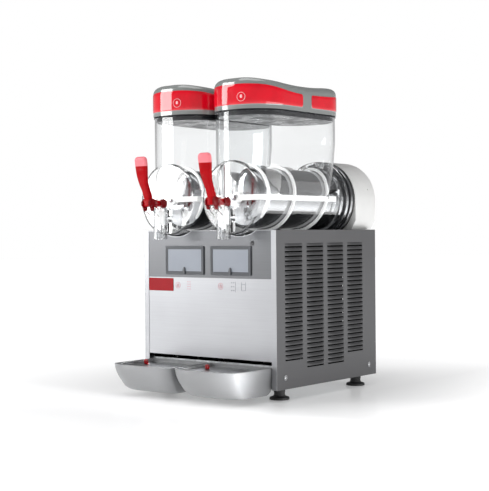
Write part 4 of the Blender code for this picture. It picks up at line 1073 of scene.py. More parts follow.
class SLUSH_OT_bowls(bpy.types.Operator):
    """Makes the clear bowls: a lying cylinder, its hopper, the rear rim, the spout and the tap's ears."""

    bl_idname = "slush.bowls"
    bl_label = "Clear bowls"

    def execute(self, context):
        bowl = context.scene.slush_bowl
        shell = joined(self.cylinder(bowl), self.hopper(0.0, 0.0), self.rim(bowl), self.spout(bowl),
                       self.neck(bowl),
                       *self.ears())
        tap = context.scene.slush_tap
        mouth, pivot = (0.0, FRONT + bowl.spout_depth, 0.0), (0.0, FRONT + tap.pivot_depth,
                                                              tap.pivot_height)
        bore = solid("spout_bore", rod((0.30, 0.42), bowl.spout_bore, mouth, "Z", 64))
        port = solid("spout_port", rod((-0.055, -0.005), 0.0085, (0.0, FRONT, 0.3680), "Y", 40))
        eyes = solid("pin_holes", rod((-0.03, 0.03), tap.pin_radius + 0.0003, pivot, "X", 24))
        shell = cut(shell, self.bore(bowl), self.hopper(bowl.wall, 0.01), bore, port, eyes)
        smoothed(shell, 28.0)
        on_both_sides(shell, "clear_bowl", "bowl_{}", "clear_plastic", "bowl_{}")
        return {"FINISHED"}

    def cylinder(self, bowl):
        front, radius, edge = bowl.front, bowl.radius, bowl.edge
        profile = [(front, 0.0), *arc((front + edge, radius - edge), edge, 180, 90, 7), (bowl.rear, radius),
                   (bowl.rear, 0.0)]
        return solid("bowl_shell", turned(profile, (0.0, FRONT, AXIS), "Y", 128))

    def bore(self, bowl):
        front, radius, edge = bowl.front + bowl.wall, bowl.radius - bowl.wall, bowl.edge * 0.6
        profile = [(front, 0.0), *arc((front + edge, radius - edge), edge, 180, 90, 6),
                   (bowl.rear + 0.01, radius),
                   (bowl.rear + 0.01, 0.0)]
        return solid("bowl_bore", turned(profile, (0.0, FRONT, AXIS), "Y", 128))

    def hopper(self, inset, rise):
        """Rounded rectangles whose sizes follow smooth curves up the hopper."""
        heights = np.concatenate([np.linspace(AXIS, 0.5250, 12), np.linspace(0.5350, 0.5850, 3)])
        half, front, rear, radius = smooth_curve(HOPPER_LEVELS, heights).T
        outlines = rounded_rectangle(half - inset, front + inset, rear - inset, radius - inset, 22)
        heights[-1] += rise
        return solid("hopper", skin(rows_at(outlines, heights[:, None])))

    def rim(self, bowl):
        rear, radius, edge = bowl.rear, bowl.rim_radius, 0.0016
        front = rear - bowl.rim_length
        profile = [(front, 0.0), *arc((front + edge, radius - edge), edge, 180, 90, 5),
                   *arc((rear - edge, radius - edge), edge, 90, 0, 5), (rear, 0.0)]
        return solid("rear_rim", turned(profile, (0.0, FRONT, AXIS), "Y", 128))

    def spout(self, bowl):
        """A tube that flares a little at its mouth."""
        low, high, radius = 0.3270, 0.3920, bowl.spout_radius
        profile = [(low, 0.0), (low, radius - 0.0006), (low + 0.0007, radius), (low + 0.0040, radius),
                   (low + 0.0060, radius - 0.0007), (high - 0.0050, radius - 0.0007),
                   (high - 0.0035, radius),
                   (high - 0.0008, radius), (high, radius - 0.0008), (high, 0.0)]
        return solid("spout", turned(profile, (0.0, FRONT + bowl.spout_depth, 0.0), "Z", 72))

    def neck(self, bowl):
        outlines = rounded_rectangle(np.array([0.0102, 0.0112, 0.0112, 0.0102]), bowl.spout_depth, -0.0255,
                                     0.0004, 3)
        return solid("neck", skin(rows_at(outlines, np.array([0.3400, 0.3415, 0.3865, 0.3880])[:, None])))

    def ears(self):
        outline = softened(side_view(EAR), 0.0035)
        return [solid("ear",
                      pushed(outline, (sign * 0.0106 - 0.0014, sign * 0.0106 + 0.0014))) for sign in (-1,
                                                                                                      1)]


SEAL = ((0.2743, 0.0703), (0.2743, 0.0775), (0.2750, 0.0784), (0.2765, 0.0787), (0.2790, 0.0787),
        (0.2796, 0.0781), (0.2802, 0.0787), (0.2838, 0.0787), (0.2846, 0.0780), (0.2846, 0.0703),
        (0.2743, 0.0703))
# A black rubber ring: partly a real gasket, partly painted shade of the groove in front of the rear cover.
GASKET_AND_SHADE = ((0.2918, 0.0790), (0.2918, 0.0822), (0.2926, 0.0832), (0.2940, 0.0836), (0.2975, 0.0836),
          (0.2988, 0.0830), (0.2994, 0.0820), (0.2994, 0.0790), (0.2918, 0.0790))


class SLUSH_OT_drums(bpy.types.Operator):
    """Turns the cold drums with their seals, gasket rings and drive shafts. The gasket rings' black is partly a
    real gasket and partly painted shade of the groove before each rear cover.
    """

    bl_idname = "slush.drums"
    bl_label = "Cold drums"

    def execute(self, context):
        drive = context.scene.slush_drive
        self.drum(drive)
        centre = (0.0, FRONT, AXIS)
        on_both_sides(smoothed(solid("seal", turned(SEAL, centre)), 40.0), "rubber_seal", "casing",
                      "black_rubber", "bowl_seal_{}", finish="seal_rubber")
        # The gasket ring's black also stands in for the shade in the groove before the rear cover.
        on_both_sides(smoothed(solid("gasket", turned(GASKET_AND_SHADE, centre)), 40.0), "gasket_ring", "casing",
                      "black_rubber")
        low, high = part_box("drive_shaft_right")
        radius = drive.shaft_radius
        front, rear = low.y - FRONT, high.y - FRONT
        shaft = [(front, 0.0), (front, radius * 0.35), (front + 0.0004, radius * 0.75),
                 (front + 0.0012, radius),
                 (rear - 0.001, radius), (rear, radius - 0.001), (rear, 0.0)]
        on_both_sides(smoothed(solid("shaft", turned(shaft, centre, sides=48))), "steel_shaft", "auger_{}",
                      "polished_steel", "drive_shaft_{}")
        return {"FINISHED"}

    def drum(self, drive):
        """A shell whose front is a smooth dome, with a weld bead, a neck and a flange."""
        radius, front, wall = drive.drum_radius, drive.drum_front, 0.0018
        bore, sleeve = drive.shaft_radius + 0.0012, drive.shaft_radius + 0.0032
        along = np.linspace(0.0, 1.0, 15) * math.pi / 2
        dome = np.stack([front + 0.0180 * (1 - np.cos(along)), bore + 0.0030 + (radius - bore - 0.0030)
                         * np.sin(along) ** 0.8], axis=-1)
        profile = [(0.2997, sleeve), (front + 0.0050, sleeve), (front + 0.0200, radius - wall),
                   (0.2660, radius - wall), (0.2670, 0.0682), (0.2997, 0.0682), (0.2997, 0.0785),
                   (0.2915, 0.0785), (0.2915, 0.0828), (0.2909, 0.0835), (0.2856, 0.0835), (0.2850, 0.0828),
                   (0.2850, 0.0703), (0.2846, 0.0700), (0.2650, 0.0700), (0.2640, 0.0690), (0.2636, 0.0645),
                   (0.2626, radius), *dome[::-1].tolist(), (front, bore), (0.2997, bore), (0.2997, sleeve)]
        drum = smoothed(solid("drum", turned(profile, (0.0, FRONT, AXIS), sides=128)), 35.0)
        on_both_sides(drum, "cold_drum", "casing", "polished_steel", "evaporator_{}")


class SLUSH_OT_augers(bpy.types.Operator):
    """Winds the auger blades and joins them to their bars, cross arm and hub."""

    bl_idname = "slush.augers"
    bl_label = "Augers"

    def execute(self, context):
        drive = context.scene.slush_drive
        near, far = drive.auger_bore + 0.0003, drive.auger_bore + 0.0048
        pieces = [self.bar(sign, near, far) for sign in (-1, 1)]
        auger = joined(self.blade(drive), *pieces, self.arm(far), self.hub())
        bore = solid("bore", rod((-0.03, 0.02), drive.shaft_radius + 0.0003, (0.0, FRONT, AXIS)))
        auger = smoothed(cut(auger, bore), 42.0)
        on_both_sides(auger, "white_auger", "auger_{}", "white_plastic", "auger_{}")
        return {"FINISHED"}

    def blade(self, drive):
        """A ribbon wound round the drum.

        After t turns its depth is 0.007 + 0.0735 t + 0.0145 t^2. Its section is a superellipse of power 5
        between the two radii, and it narrows over the last fiftieth of each end.
        """
        t = np.linspace(-0.10, 2.30, 240)[:, None]
        phi = np.linspace(0.0, math.tau, 20, endpoint=False)[None, :]
        u = (t + 0.10) / 2.40
        taper = np.clip(np.minimum(u, 1.0 - u) / 0.02, 0.0, 1.0) ** 0.5 * 0.45 + 0.55
        centre, half = (drive.auger_bore + drive.auger_radius) / 2, (drive.auger_radius - drive.auger_bore) / 2
        radius = centre + half * taper * signed_power(np.cos(phi), 0.4)
        depth = (0.007 + 0.0735 * t + 0.0145 * t * t
                 + drive.blade / 2 * taper * signed_power(np.sin(phi), 0.4))
        angle = math.tau * t
        grid = np.stack([radius * np.cos(angle), FRONT + depth, AXIS + radius * np.sin(angle)], axis=-1)
        return solid("blade", skin(grid))

    def bar(self, sign, near, far):
        """A long flat bar with rounded edges along the drum."""
        outline = softened([(sign * near, -0.0055), (sign * far, -0.0055), (sign * far, 0.0055),
                            (sign * near, 0.0055)], 0.0012)
        outline[:, 1] += AXIS
        return solid("bar", pushed(outline, (FRONT - 0.0120, FRONT + 0.2450), "XZ"))

    def arm(self, far):
        outline = softened([(-far, -0.0052), (-0.0180, -0.0057), (0.0180, -0.0057), (far, -0.0052),
                            (far, 0.0052), (0.0180, 0.0057), (-0.0180, 0.0057), (-far, 0.0052)], 0.0012)
        outline[:, 1] += AXIS
        return solid("arm", pushed(outline, (FRONT - 0.0124, FRONT - 0.0076), "XZ"))

    def hub(self):
        profile = [(-0.0145, 0.0), (-0.0145, 0.0105), (-0.0135, 0.0118), (-0.0125, 0.0120),
                   (-0.0030, 0.0120),
                   (-0.0020, 0.0112), (-0.0015, 0.0)]
        return solid("hub", turned(profile, (0.0, FRONT, AXIS), sides=56))


class SLUSH_OT_covers(bpy.types.Operator):
    """Moulds the white arched covers behind the bowls."""

    bl_idname = "slush.covers"
    bl_label = "Rear covers"

    def execute(self, context):
        drive = context.scene.slush_drive
        foot, front, rear, wall = CASE_TOP + 0.0003, drive.cover_front, drive.cover_rear, 0.0025
        turn = np.linspace(0.0, math.pi / 2, 8)
        depth = np.concatenate([[front, front + 0.0006], rear - 0.0140 + 0.0140 * np.sin(turn)])
        inset = np.concatenate([[0.0008, 0.0], 0.0140 * (1.0 - np.cos(turn))])
        shell = self.arches("cover", drive.cover_radius, foot, depth, inset)
        inner_depth = np.concatenate([[front + wall], rear - 0.0140 + (0.0140 - wall) * np.sin(turn)])
        inner_inset = wall + np.concatenate([[0.0], (0.0140 - wall) * (1.0 - np.cos(turn))])
        hollow = self.arches("hollow", drive.cover_radius, foot, inner_depth, inner_inset)
        port = solid("port", rod((front - 0.01, front + 0.01), 0.0615, (0.0, FRONT, AXIS), sides=96))
        hole = solid("hole", rod((0.060, 0.100), 0.0016, (0.0, FRONT + 0.353, 0.4330), "X", 20))
        cover = smoothed(cut(shell, hollow, port, hole), 34.0)
        on_both_sides(cover, "arch_cover", "casing", "white_plastic", "rear_cover_{}",
                      finish="cover_plastic")
        return {"FINISHED"}

    def arches(self, name, radius, foot, depth, inset):
        """Arches (across, height) set one behind the other, each inset from the first."""
        outlines = arch_outline(radius, foot, 0.020, inset)
        y = np.broadcast_to((FRONT + depth)[:, None], outlines.shape[:2])
        return solid(name, skin(np.stack([outlines[..., 0], y, outlines[..., 1]], axis=-1)))


LEVER = ((0.0, -0.0856, 0.3975, 0.0068, 0.0085), (0.12, -0.0862, 0.4120, 0.0066, 0.0085),
         (0.26, -0.0920, 0.4278, 0.0055, 0.0088), (0.42, -0.0990, 0.4425, 0.0050, 0.0106),
         (0.58, -0.1030, 0.4580, 0.0049, 0.0133), (0.80, -0.1056, 0.4790, 0.0048, 0.0155),
         (1.0, -0.1082, 0.4972, 0.0049, 0.0155))
PISTON = ((0.3950, 0.0), (0.3950, 0.0045), (0.3860, 0.0045), (0.3852, 0.0086), (0.3844, 0.0096),
          (0.3830, 0.0104),
          (0.3745, 0.0104), (0.3740, 0.0098), (0.3715, 0.0098), (0.3710, 0.0104), (0.3572, 0.0104),
          (0.3560, 0.0094),
          (0.3560, 0.0))
PISTON_HEAD = ((-0.0050, 0.0), (-0.0050, 0.0084), (-0.0042, 0.0093), (0.0042, 0.0093), (0.0050, 0.0084),
               (0.0050, 0.0))
CROSS_PIN = ((-0.0083, 0.0), (-0.0083, 0.0016), (-0.0079, 0.0020), (0.0079, 0.0020), (0.0083, 0.0016),
             (0.0083, 0.0))
PIVOT_PIN = ((-0.0128, 0.0), (-0.0128, 0.0017), (-0.0124, 0.0021), (0.0124, 0.0021), (0.0128, 0.0017),
             (0.0128, 0.0))
KNOBS = ((-0.0500, 0.4010, 0.0100), (-0.0856, 0.4010, 0.0100), (-0.0850, 0.3905, 0.0052))


class SLUSH_OT_taps(bpy.types.Operator):
    """Makes the red lever handles with their knobs, the plungers they lift and the pins they turn on."""

    bl_idname = "slush.taps"
    bl_label = "Taps"

    def execute(self, context):
        tap = context.scene.slush_tap
        place = (0.0, FRONT + tap.pivot_depth, tap.pivot_height)
        handle = joined(self.lever(), self.fork(tap), *self.cheeks(context.scene.slush_bowl, tap))
        slot = softened([(-0.0056, FRONT - 0.0680), (0.0056, FRONT - 0.0680), (0.0056, FRONT - 0.0300),
                         (-0.0056, FRONT - 0.0300)], 0.0010)
        eye = solid("eye", rod((-0.03, 0.03), tap.pin_radius + 0.0004, place, "X", 24))
        notch = solid("notch", pushed(side_view([(-0.0300, 0.4038), (-0.0540, 0.4038), (-0.0540, 0.3982),
                                                 (-0.0300, 0.3982)]), (-0.03, 0.03)))
        cut(handle, solid("fork_slot", pushed(slot, (0.37, 0.43), "XY")), eye, notch)
        eased(handle, 0.0006, 50.0)
        on_both_sides(smoothed(handle, 35.0), "lever_handle", "tap_handle_{}", "translucent_red",
                      "tap_handle_{}",
                      finish="tap_handle_red")
        on_both_sides(self.plunger(context.scene.slush_bowl, tap), "outlet_plunger", "tap_plunger_{}",
                      "translucent_red", "tap_plunger_{}", finish="white_plastic")
        knobs = [solid("knob", self.knob(sign, *size)) for sign in (-1, 1) for size in KNOBS]
        on_both_sides(smoothed(joined(*knobs), 35.0), "tap_knobs", "tap_handle_{}", "translucent_red",
                      finish="knob_red")
        pin = smoothed(solid("pin", turned(PIVOT_PIN, place, "X", 32)))
        on_both_sides(pin, "pivot_pin", "bowl_{}", "polished_steel", "tap_pin_{}")
        return {"FINISHED"}

    def lever(self):
        """Superellipse sections along an S-shaped line, across it at every point.

        The knots of LEVER are (share of the way, depth, height, half thickness, half width).
        """
        u = np.concatenate([np.linspace(0.0, 0.9, 46), 0.9 + 0.1 * np.sin(np.linspace(0.1, math.pi / 2,
                                                                                      9))])
        depth, height, thick, wide = smooth_curve(LEVER, u).T
        run, rise = np.gradient(depth, u), np.gradient(height, u)
        size = np.hypot(run, rise)
        end = np.clip((u - 0.9) / 0.1, 0.0, 1.0)
        round_end = (1.0 - end**2.6 * 0.98) ** 0.5
        phi = np.linspace(0.0, math.tau, 40, endpoint=False)[None, :]
        along = signed_power(np.cos(phi), 0.42) * (wide * (0.45 + 0.55 * round_end))[:, None]
        out = signed_power(np.sin(phi), 0.55) * (thick * round_end)[:, None]
        y = FRONT + depth[:, None] + out * (rise / size)[:, None]
        z = height[:, None] - out * (run / size)[:, None]
        return solid("lever", skin(np.stack([along, y, z], axis=-1)))

    def fork(self, tap):
        z = tap.pivot_height
        outline = softened(side_view([(-0.0450, z + 0.0058), (-0.0450, z - 0.0055), (-0.0800, z - 0.0068),
                                      (-0.0915, z - 0.0060), (-0.0925, z + 0.0080), (-0.0780, z + 0.0110),
                                      (-0.0740, z + 0.0068)]), 0.0022)
        return solid("fork", pushed(outline, (-0.0085, 0.0085)))

    def knob(self, sign, depth, height, radius):
        """A round knob with nine soft lobes: its radius is r (1 + 0.05 cos 9a), over a domed profile."""
        angle = np.linspace(0.0, math.tau, 54, endpoint=False)[None, :]
        out = np.array([0.0, 0.0020, 0.0036, 0.0044, 0.0046])[:, None]
        share = np.array([1.0, 1.0, 0.90, 0.62, 0.25])[:, None] * radius * (1.0 + 0.05 * np.cos(9 * angle))
        across = sign * (0.0087 + out) + 0.0 * share
        return skin(np.stack([across, FRONT + depth + share * np.cos(angle),
                              height + share * np.sin(angle)], axis=-1))

    def cheeks(self, bowl, tap):
        """The round ends of the fork's two arms."""
        centre = (0.0, FRONT + bowl.spout_depth, tap.pivot_height)
        radius = tap.knob_radius
        return [solid("cheek", turned([(sign * 0.0057, 0.0), (sign * 0.0057, radius - 0.0006),
                                       (sign * 0.0061, radius),
                                       (sign * 0.0078, radius), (sign * 0.0084, radius - 0.0008),
                                       (sign * 0.0085, radius - 0.0020), (sign * 0.0085, 0.0)], centre, "X",
                                      48))
                for sign in (-1, 1)]

    def plunger(self, bowl, tap):
        """A turned piston with a ring groove, its round head and its cross pin."""
        centre = (0.0, FRONT + bowl.spout_depth, 0.0)
        piston = solid("piston", turned(PISTON, centre, "Z", 56))
        place = (0.0, centre[1], tap.pivot_height)
        head = solid("head", turned(PISTON_HEAD, place, "X", 48))
        piston = joined(piston, head, solid("pin", turned(CROSS_PIN, place, "X", 24)))
        return smoothed(piston)


LID_OUTLINE = (0.0822, -0.0251, 0.2808, 0.0730)
LID_CREST = ((-0.040, 0.6545), (-0.015, 0.6530), (0.010, 0.6485), (0.040, 0.6450), (0.075, 0.6428),
             (0.120, 0.6420), (0.160, 0.6432), (0.200, 0.6462), (0.240, 0.6475), (0.300, 0.6475))
LINER_RIM = (0.0795, -0.0225, 0.2780, 0.0705)
LINER_LEVELS = ((LINER_RIM, 0.0050, 0.5770), (LINER_RIM, 0.0040, 0.5774), (LINER_RIM, 0.0038, 0.5782),
                (LINER_RIM, 0.0038, 0.5851), (LID_OUTLINE, 0.0014, 0.5853), (LID_OUTLINE, 0.0010, 0.5857),
                (LID_OUTLINE, 0.0010, 0.5876), (LID_OUTLINE, 0.0014, 0.5880), (LINER_RIM, 0.0060, 0.5880),
                (LINER_RIM, 0.0062, 0.5875), (LINER_RIM, 0.0062, 0.5795))
BAND_TOP = ((0.0, 0.6395), (0.0400, 0.6392), (0.0750, 0.6370), (0.1200, 0.6300), (0.1600, 0.6258),
            (0.2000, 0.6240))
STRIP_LOW = ((0.0, 0.5980), (0.0900, 0.5980), (0.1300, 0.5978), (0.2000, 0.5976))
STRIP_TOP = ((0.0, 0.6300), (0.0900, 0.6298), (0.1300, 0.6272), (0.2000, 0.6250))
RING_PLACES = ((0.0258, 0.6125), (-0.0978, 0.6120))


def lid_path(place, rear=False):
    """Points (across, depth) and outward directions on the lid's outline, at distances along it.

    Distances start from the middle of the front, or of the rear, and grow towards +X.
    """
    half, front, back, radius = LID_OUTLINE
    straight, quarter = half - radius, radius * math.pi / 2
    place = np.asarray(place, float)
    reach = np.abs(place)
    turn = np.clip((reach - straight) / radius, 0.0, math.pi / 2)
    beyond = np.maximum(reach - straight - quarter, 0.0)
    across = np.sign(place) * (np.minimum(reach, straight) + radius * np.sin(turn))
    depth = front + radius * (1.0 - np.cos(turn)) + beyond
    out = np.stack([np.sign(place) * np.sin(turn), -np.cos(turn)], axis=-1)
    if rear:
        depth, out = front + back - depth, out * np.array([1.0, -1.0])
    return np.stack([across, depth], axis=-1), out


def on_lid(place, height, stand, rear=False):
    """Points on the lid's upright wall: distance along it, height, and distance out from it."""
    place, height, stand = np.broadcast_arrays(place, height, stand)
    points, out = lid_path(place, rear)
    flat = points + out * stand[..., None]
    return np.stack([flat[..., 0], FRONT + flat[..., 1], height], axis=-1)


class SLUSH_OT_lids(bpy.types.Operator):
    """Makes the wavy lids, their dark liners, and the red bands with their ring marks."""

    bl_idname = "slush.lids"
    bl_label = "Lids"

    def execute(self, context):
        lid = context.scene.slush_lid
        on_both_sides(self.shell(lid), "wavy_lid", "lid_{}", "grey_lid_plastic", "lid_{}")
        on_both_sides(self.liner(), "lid_pan", "lid_{}", "dark_plastic", "lid_liner_{}")
        for rear, red, node, surround in ((False, "front_band", "lid_band_{}", "band_surround"),
                                          (True, "rear_strip", "lid_badge_{}", "strip_surround")):
            on_both_sides(self.strip(lid, 0.0, 0.0010, rear), red, "lid_{}", "red_band", node)
            on_both_sides(self.strip(lid, 0.0011, 0.0005, rear), surround, "lid_{}", "grey_lid_plastic")
        on_both_sides(self.rings(lid), "ring_marks", "lid_{}", "red_band", None, finish="pale_mark")
        return {"FINISHED"}

    def surface(self, inset, edge, base):
        """Rows from the lower edge to the lid's middle line.

        A row goes up the wall, round the edge as a quarter ellipse, and then inwards, where each point's
        height follows the crest curve of its own depth.
        """
        half, front, rear, radius = LID_OUTLINE
        turn = np.linspace(0.0, math.pi / 2, 9)
        wall_share = np.linspace(0.0, 1.0, 7)
        inward = np.concatenate([np.zeros(6), edge * (1 - np.cos(turn)), np.linspace(edge + 0.004,
                                                                                     half - inset, 15)])
        drop = np.concatenate([np.full(6, edge), edge * (1 - np.sin(turn)), np.zeros(15)])
        rise = np.concatenate([wall_share[:6], np.ones(24)])
        size = inward + inset
        outlines = rounded_rectangle(half - size, front + size, rear - size, np.maximum(radius - size, 0.0),
                                     24, 26)
        crest = smooth_curve(LID_CREST, outlines[..., 1])[..., 0] - drop[:, None] - inset
        height = base + (crest - base) * rise[:, None]
        return rows_at(outlines, height)

    def shell(self, lid):
        outer = self.surface(0.0, lid.edge, lid.base)
        inner = self.surface(lid.wall, lid.edge - lid.wall, lid.base)
        return smoothed(solid("lid", skin(np.concatenate([inner[::-1], outer]), ends=False)), 40.0)

    def liner(self):
        """A shallow pan: its skirt sits in the hopper and its flange on the hopper's rim."""
        rows = [rounded_rectangle(half - inset, front + inset, rear - inset, radius - inset, 24)
                for (half, front, rear, radius), inset, height in LINER_LEVELS]
        grid = rows_at(np.concatenate(rows), np.array([level[2] for level in LINER_LEVELS])[:, None])
        return smoothed(solid("liner", skin(grid)), 35.0)

    def strip(self, lid, grow, proud, rear):
        """A band on the lid's wall with round ends and soft edges.

        Its half height near an end follows a superellipse, and it stands out by proud (1 - (2v - 1)^10).
        """
        half, front, back, radius = LID_OUTLINE
        end = (back - radius - lid.badge_start) if rear else (lid.band_end - front - radius)
        total = half - radius + radius * math.pi / 2 + end + grow
        round_reach = 0.0045
        theta = np.linspace(0.0, math.pi / 2, 10)[1:]
        middle_part = np.linspace(-(total - round_reach), total - round_reach, 121)
        tip = total - round_reach + round_reach * np.sin(theta)
        place = np.concatenate([-tip[::-1], middle_part, tip])
        reach = np.clip((np.abs(place) - (total - round_reach)) / round_reach, 0.0, 1.0)
        narrow = np.maximum((1.0 - reach**3.0) ** 0.34, 0.05)
        if rear:
            knots_low, knots_top = STRIP_LOW, STRIP_TOP
        else:
            knots_low, knots_top = ((0.0, lid.band_low), (0.2, lid.band_low + 0.0006)), BAND_TOP
        low = smooth_curve(knots_low, np.abs(place))[:, 0] - grow
        top = smooth_curve(knots_top, np.abs(place))[:, 0] + grow
        v = (1.0 - np.cos(np.linspace(0.0, math.pi, 15)))[None, :] / 2
        height = ((low + top) / 2)[:, None] + ((top - low) / 2 * narrow)[:, None] * (2 * v - 1)
        stands = proud * (1.0 - (2 * v - 1) ** 10) * np.clip(narrow[:, None] * 1.6, 0.1, 1.0) + 0.00002
        outer = on_lid(place[:, None], height, stands, rear)
        inner = on_lid(place[:, None], height, -0.0008, rear)
        return smoothed(solid("strip", slab(outer, inner)), 50.0)

    def rings(self, lid):
        """Round marks on the band: a flat ring with a rounded face, and a drop inside it."""
        angle = np.linspace(0.0, math.tau, 56, endpoint=False)[None, :]
        parts = []
        for place, height in RING_PLACES:
            across = np.array([0.90, 0.92, 0.96, 1.0, 1.02, 1.02, 0.90, 0.90])[:, None] * lid.ring * 0.94
            stand = np.array([0.0008, 0.0014, 0.0016, 0.0014, 0.0008, 0.0004, 0.0004, 0.0008])[:, None]
            parts.append(skin(self.on_band(place, height, across, stand, angle), ends=False))
            drop = np.array([0.0, 0.20, 0.26, 0.28])[:, None] * lid.ring
            drop = drop * (1.0 + 0.7 * np.maximum(np.sin(angle), 0.0) ** 3)
            stand = np.array([0.0015, 0.0014, 0.0011, 0.0004])[:, None]
            parts.append(skin(self.on_band(place, height, drop, stand, angle)))
        return smoothed(solid("rings", *parts), 50.0)

    def on_band(self, place, height, radius, stand, angle):
        return on_lid(place + radius * np.cos(angle), height + radius * np.sin(angle), stand + 0.0 * angle)


TRAY_LEVELS = ((0.0120, 0.0665, 0.0040, -0.0700, -0.0880), (0.0160, 0.0700, 0.0078, -0.0775, -0.0965),
               (0.0300, 0.0745, 0.0080, -0.0890, -0.1090), (0.0600, 0.0800, 0.0080, -0.1035, -0.1235),
               (0.0685, 0.0803, 0.0080, -0.1045, -0.1245))

TRAY_OUTSIDE = (0.0120, 0.0128, 0.0142, 0.0160, 0.0200, 0.0250, 0.0300, 0.0360, 0.0430, 0.0500, 0.0570,
                0.0610,
                0.0650, 0.0678, 0.0684)
TRAY_INSIDE = (0.0684, 0.0678, 0.0640, 0.0600, 0.0500, 0.0400, 0.0300, 0.0220, 0.0180, 0.0150, 0.0146)
FLOAT = ((0.0150, 0.0), (0.0150, 0.0106), (0.0154, 0.0110), (0.0284, 0.0110), (0.0290, 0.0104),
         (0.0300, 0.0034),
         (0.0630, 0.0034), (0.0640, 0.0044), (0.0644, 0.0048), (0.0700, 0.0048), (0.0716, 0.0044),
         (0.0727, 0.0032),
         (0.0733, 0.0016), (0.0735, 0.0))


class SLUSH_OT_trays(bpy.types.Operator):
    """Makes the drip trays, their slotted grilles and the red level floats."""

    bl_idname = "slush.trays"
    bl_label = "Drip trays"

    def execute(self, context):
        tray = context.scene.slush_tray
        shell = self.shell(tray)
        eased(shell, 0.0016, 60.0, 3)
        on_both_sides(smoothed(shell, 40.0), "moulded_tray", "drip_tray_{}", "grey_tray_plastic",
                      "drip_tray_{}",
                      across=TRAY_X)
        on_both_sides(self.grille(tray), "slotted_grille", "tray_grille_{}", "satin_steel",
                      "tray_grille_{}",
                      across=TRAY_X)
        place = (tray.float_across, FRONT + tray.float_depth, 0.0)
        floats = smoothed(solid("float", turned(FLOAT, place, "Z", 40)))
        on_both_sides(floats, "level_float", "tray_float_{}", "translucent_red", "tray_float_{}",
                      across=TRAY_X)
        return {"FINISHED"}

    def levels(self, heights):
        return smooth_curve(TRAY_LEVELS, heights).T

    def shell(self, tray):
        """Outlines up the outside, over a rounded lip and down the inside to the floor."""
        wall = tray.wall
        up, down = np.array(TRAY_OUTSIDE), np.array(TRAY_INSIDE)
        outer = tray_outline(*self.levels(up), np.concatenate([np.zeros(14), [0.0006]]), 56)
        sizes = self.levels(np.concatenate([down[:8], [0.0180, 0.0162, 0.0160]]))
        inset = np.concatenate([[wall - 0.0006], np.full(8, wall), [wall + 0.0003, wall + 0.0012]])
        outlines = np.concatenate([outer, tray_outline(*sizes, inset, 56)])
        return solid("tray", skin(rows_at(outlines, np.concatenate([up, down])[:, None])))

    def grille(self, tray):
        base, top = tray.grille_base, tray.grille_base + tray.grille_thickness
        inset = np.array([0.0036, 0.0031, 0.0031, 0.0036])
        outline = tray_outline(*(np.full(4, size) for size in TRAY_LEVELS[3][1:]), inset, 48)
        levels = np.array([base, base + 0.0004, top - 0.0004, top])[:, None]
        plate = solid("grille", skin(rows_at(outline, levels)))
        slots = []
        for index in range(9):
            across = (index - 4) * tray.slot_pitch
            front = -0.0380 if abs(across - tray.float_across) < 0.012 else -0.0980
            rounded = softened([(across - 0.0022, FRONT + front), (across + 0.0022, FRONT + front),
                                (across + 0.0022, FRONT - 0.0060), (across - 0.0022, FRONT - 0.0060)],
                               0.0020)
            slots.append(pushed(rounded, (base - 0.01, top + 0.01), "XY"))
        middle_of_hole = (tray.float_across, FRONT + tray.float_depth, 0.0)
        hole = rod((base - 0.01, top + 0.01), 0.0062, middle_of_hole, "Z", 40)
        return smoothed(cut(plate, solid("slots", *slots), solid("hole", hole)), 30.0)


# Studio


LIGHTS = (
    ("tall_front_light", (-1.74, -1.62, 1.05), (0.0, 0.0, 0.42), 0.90, 1.5, "key", 180.0),
    ("right_light", (1.9, 0.20, 0.29), (0.10, -0.05, 0.15), 2.2, 0.54, "side", 180.0),
    ("overhead_light", (0.10, -0.50, 2.10), (0.0, 0.0, 0.40), 1.6, 1.4, "top", 180.0),
    ("low_tray_light", (0.85, -0.30, 0.08), (0.16, -0.31, 0.055), 0.12, 0.12, "low", 18.0),
)
WORLD_TONES = ((0.0, 0.45), (0.44, 0.55), (0.49, 0.75), (0.53, 0.62), (0.58, 0.22), (0.80, 0.18),
               (0.93, 0.42),
               (1.0, 0.55))

def seen_directly(tree):
    """1 where the eye sees the surface itself or through something clear, 0 where it is reflected."""
    path = tree.nodes.new("ShaderNodeLightPath")
    bounces = maths(tree, "ADD", path.outputs["Diffuse Depth"], path.outputs["Glossy Depth"])
    return maths(tree, "LESS_THAN", bounces, 0.5)


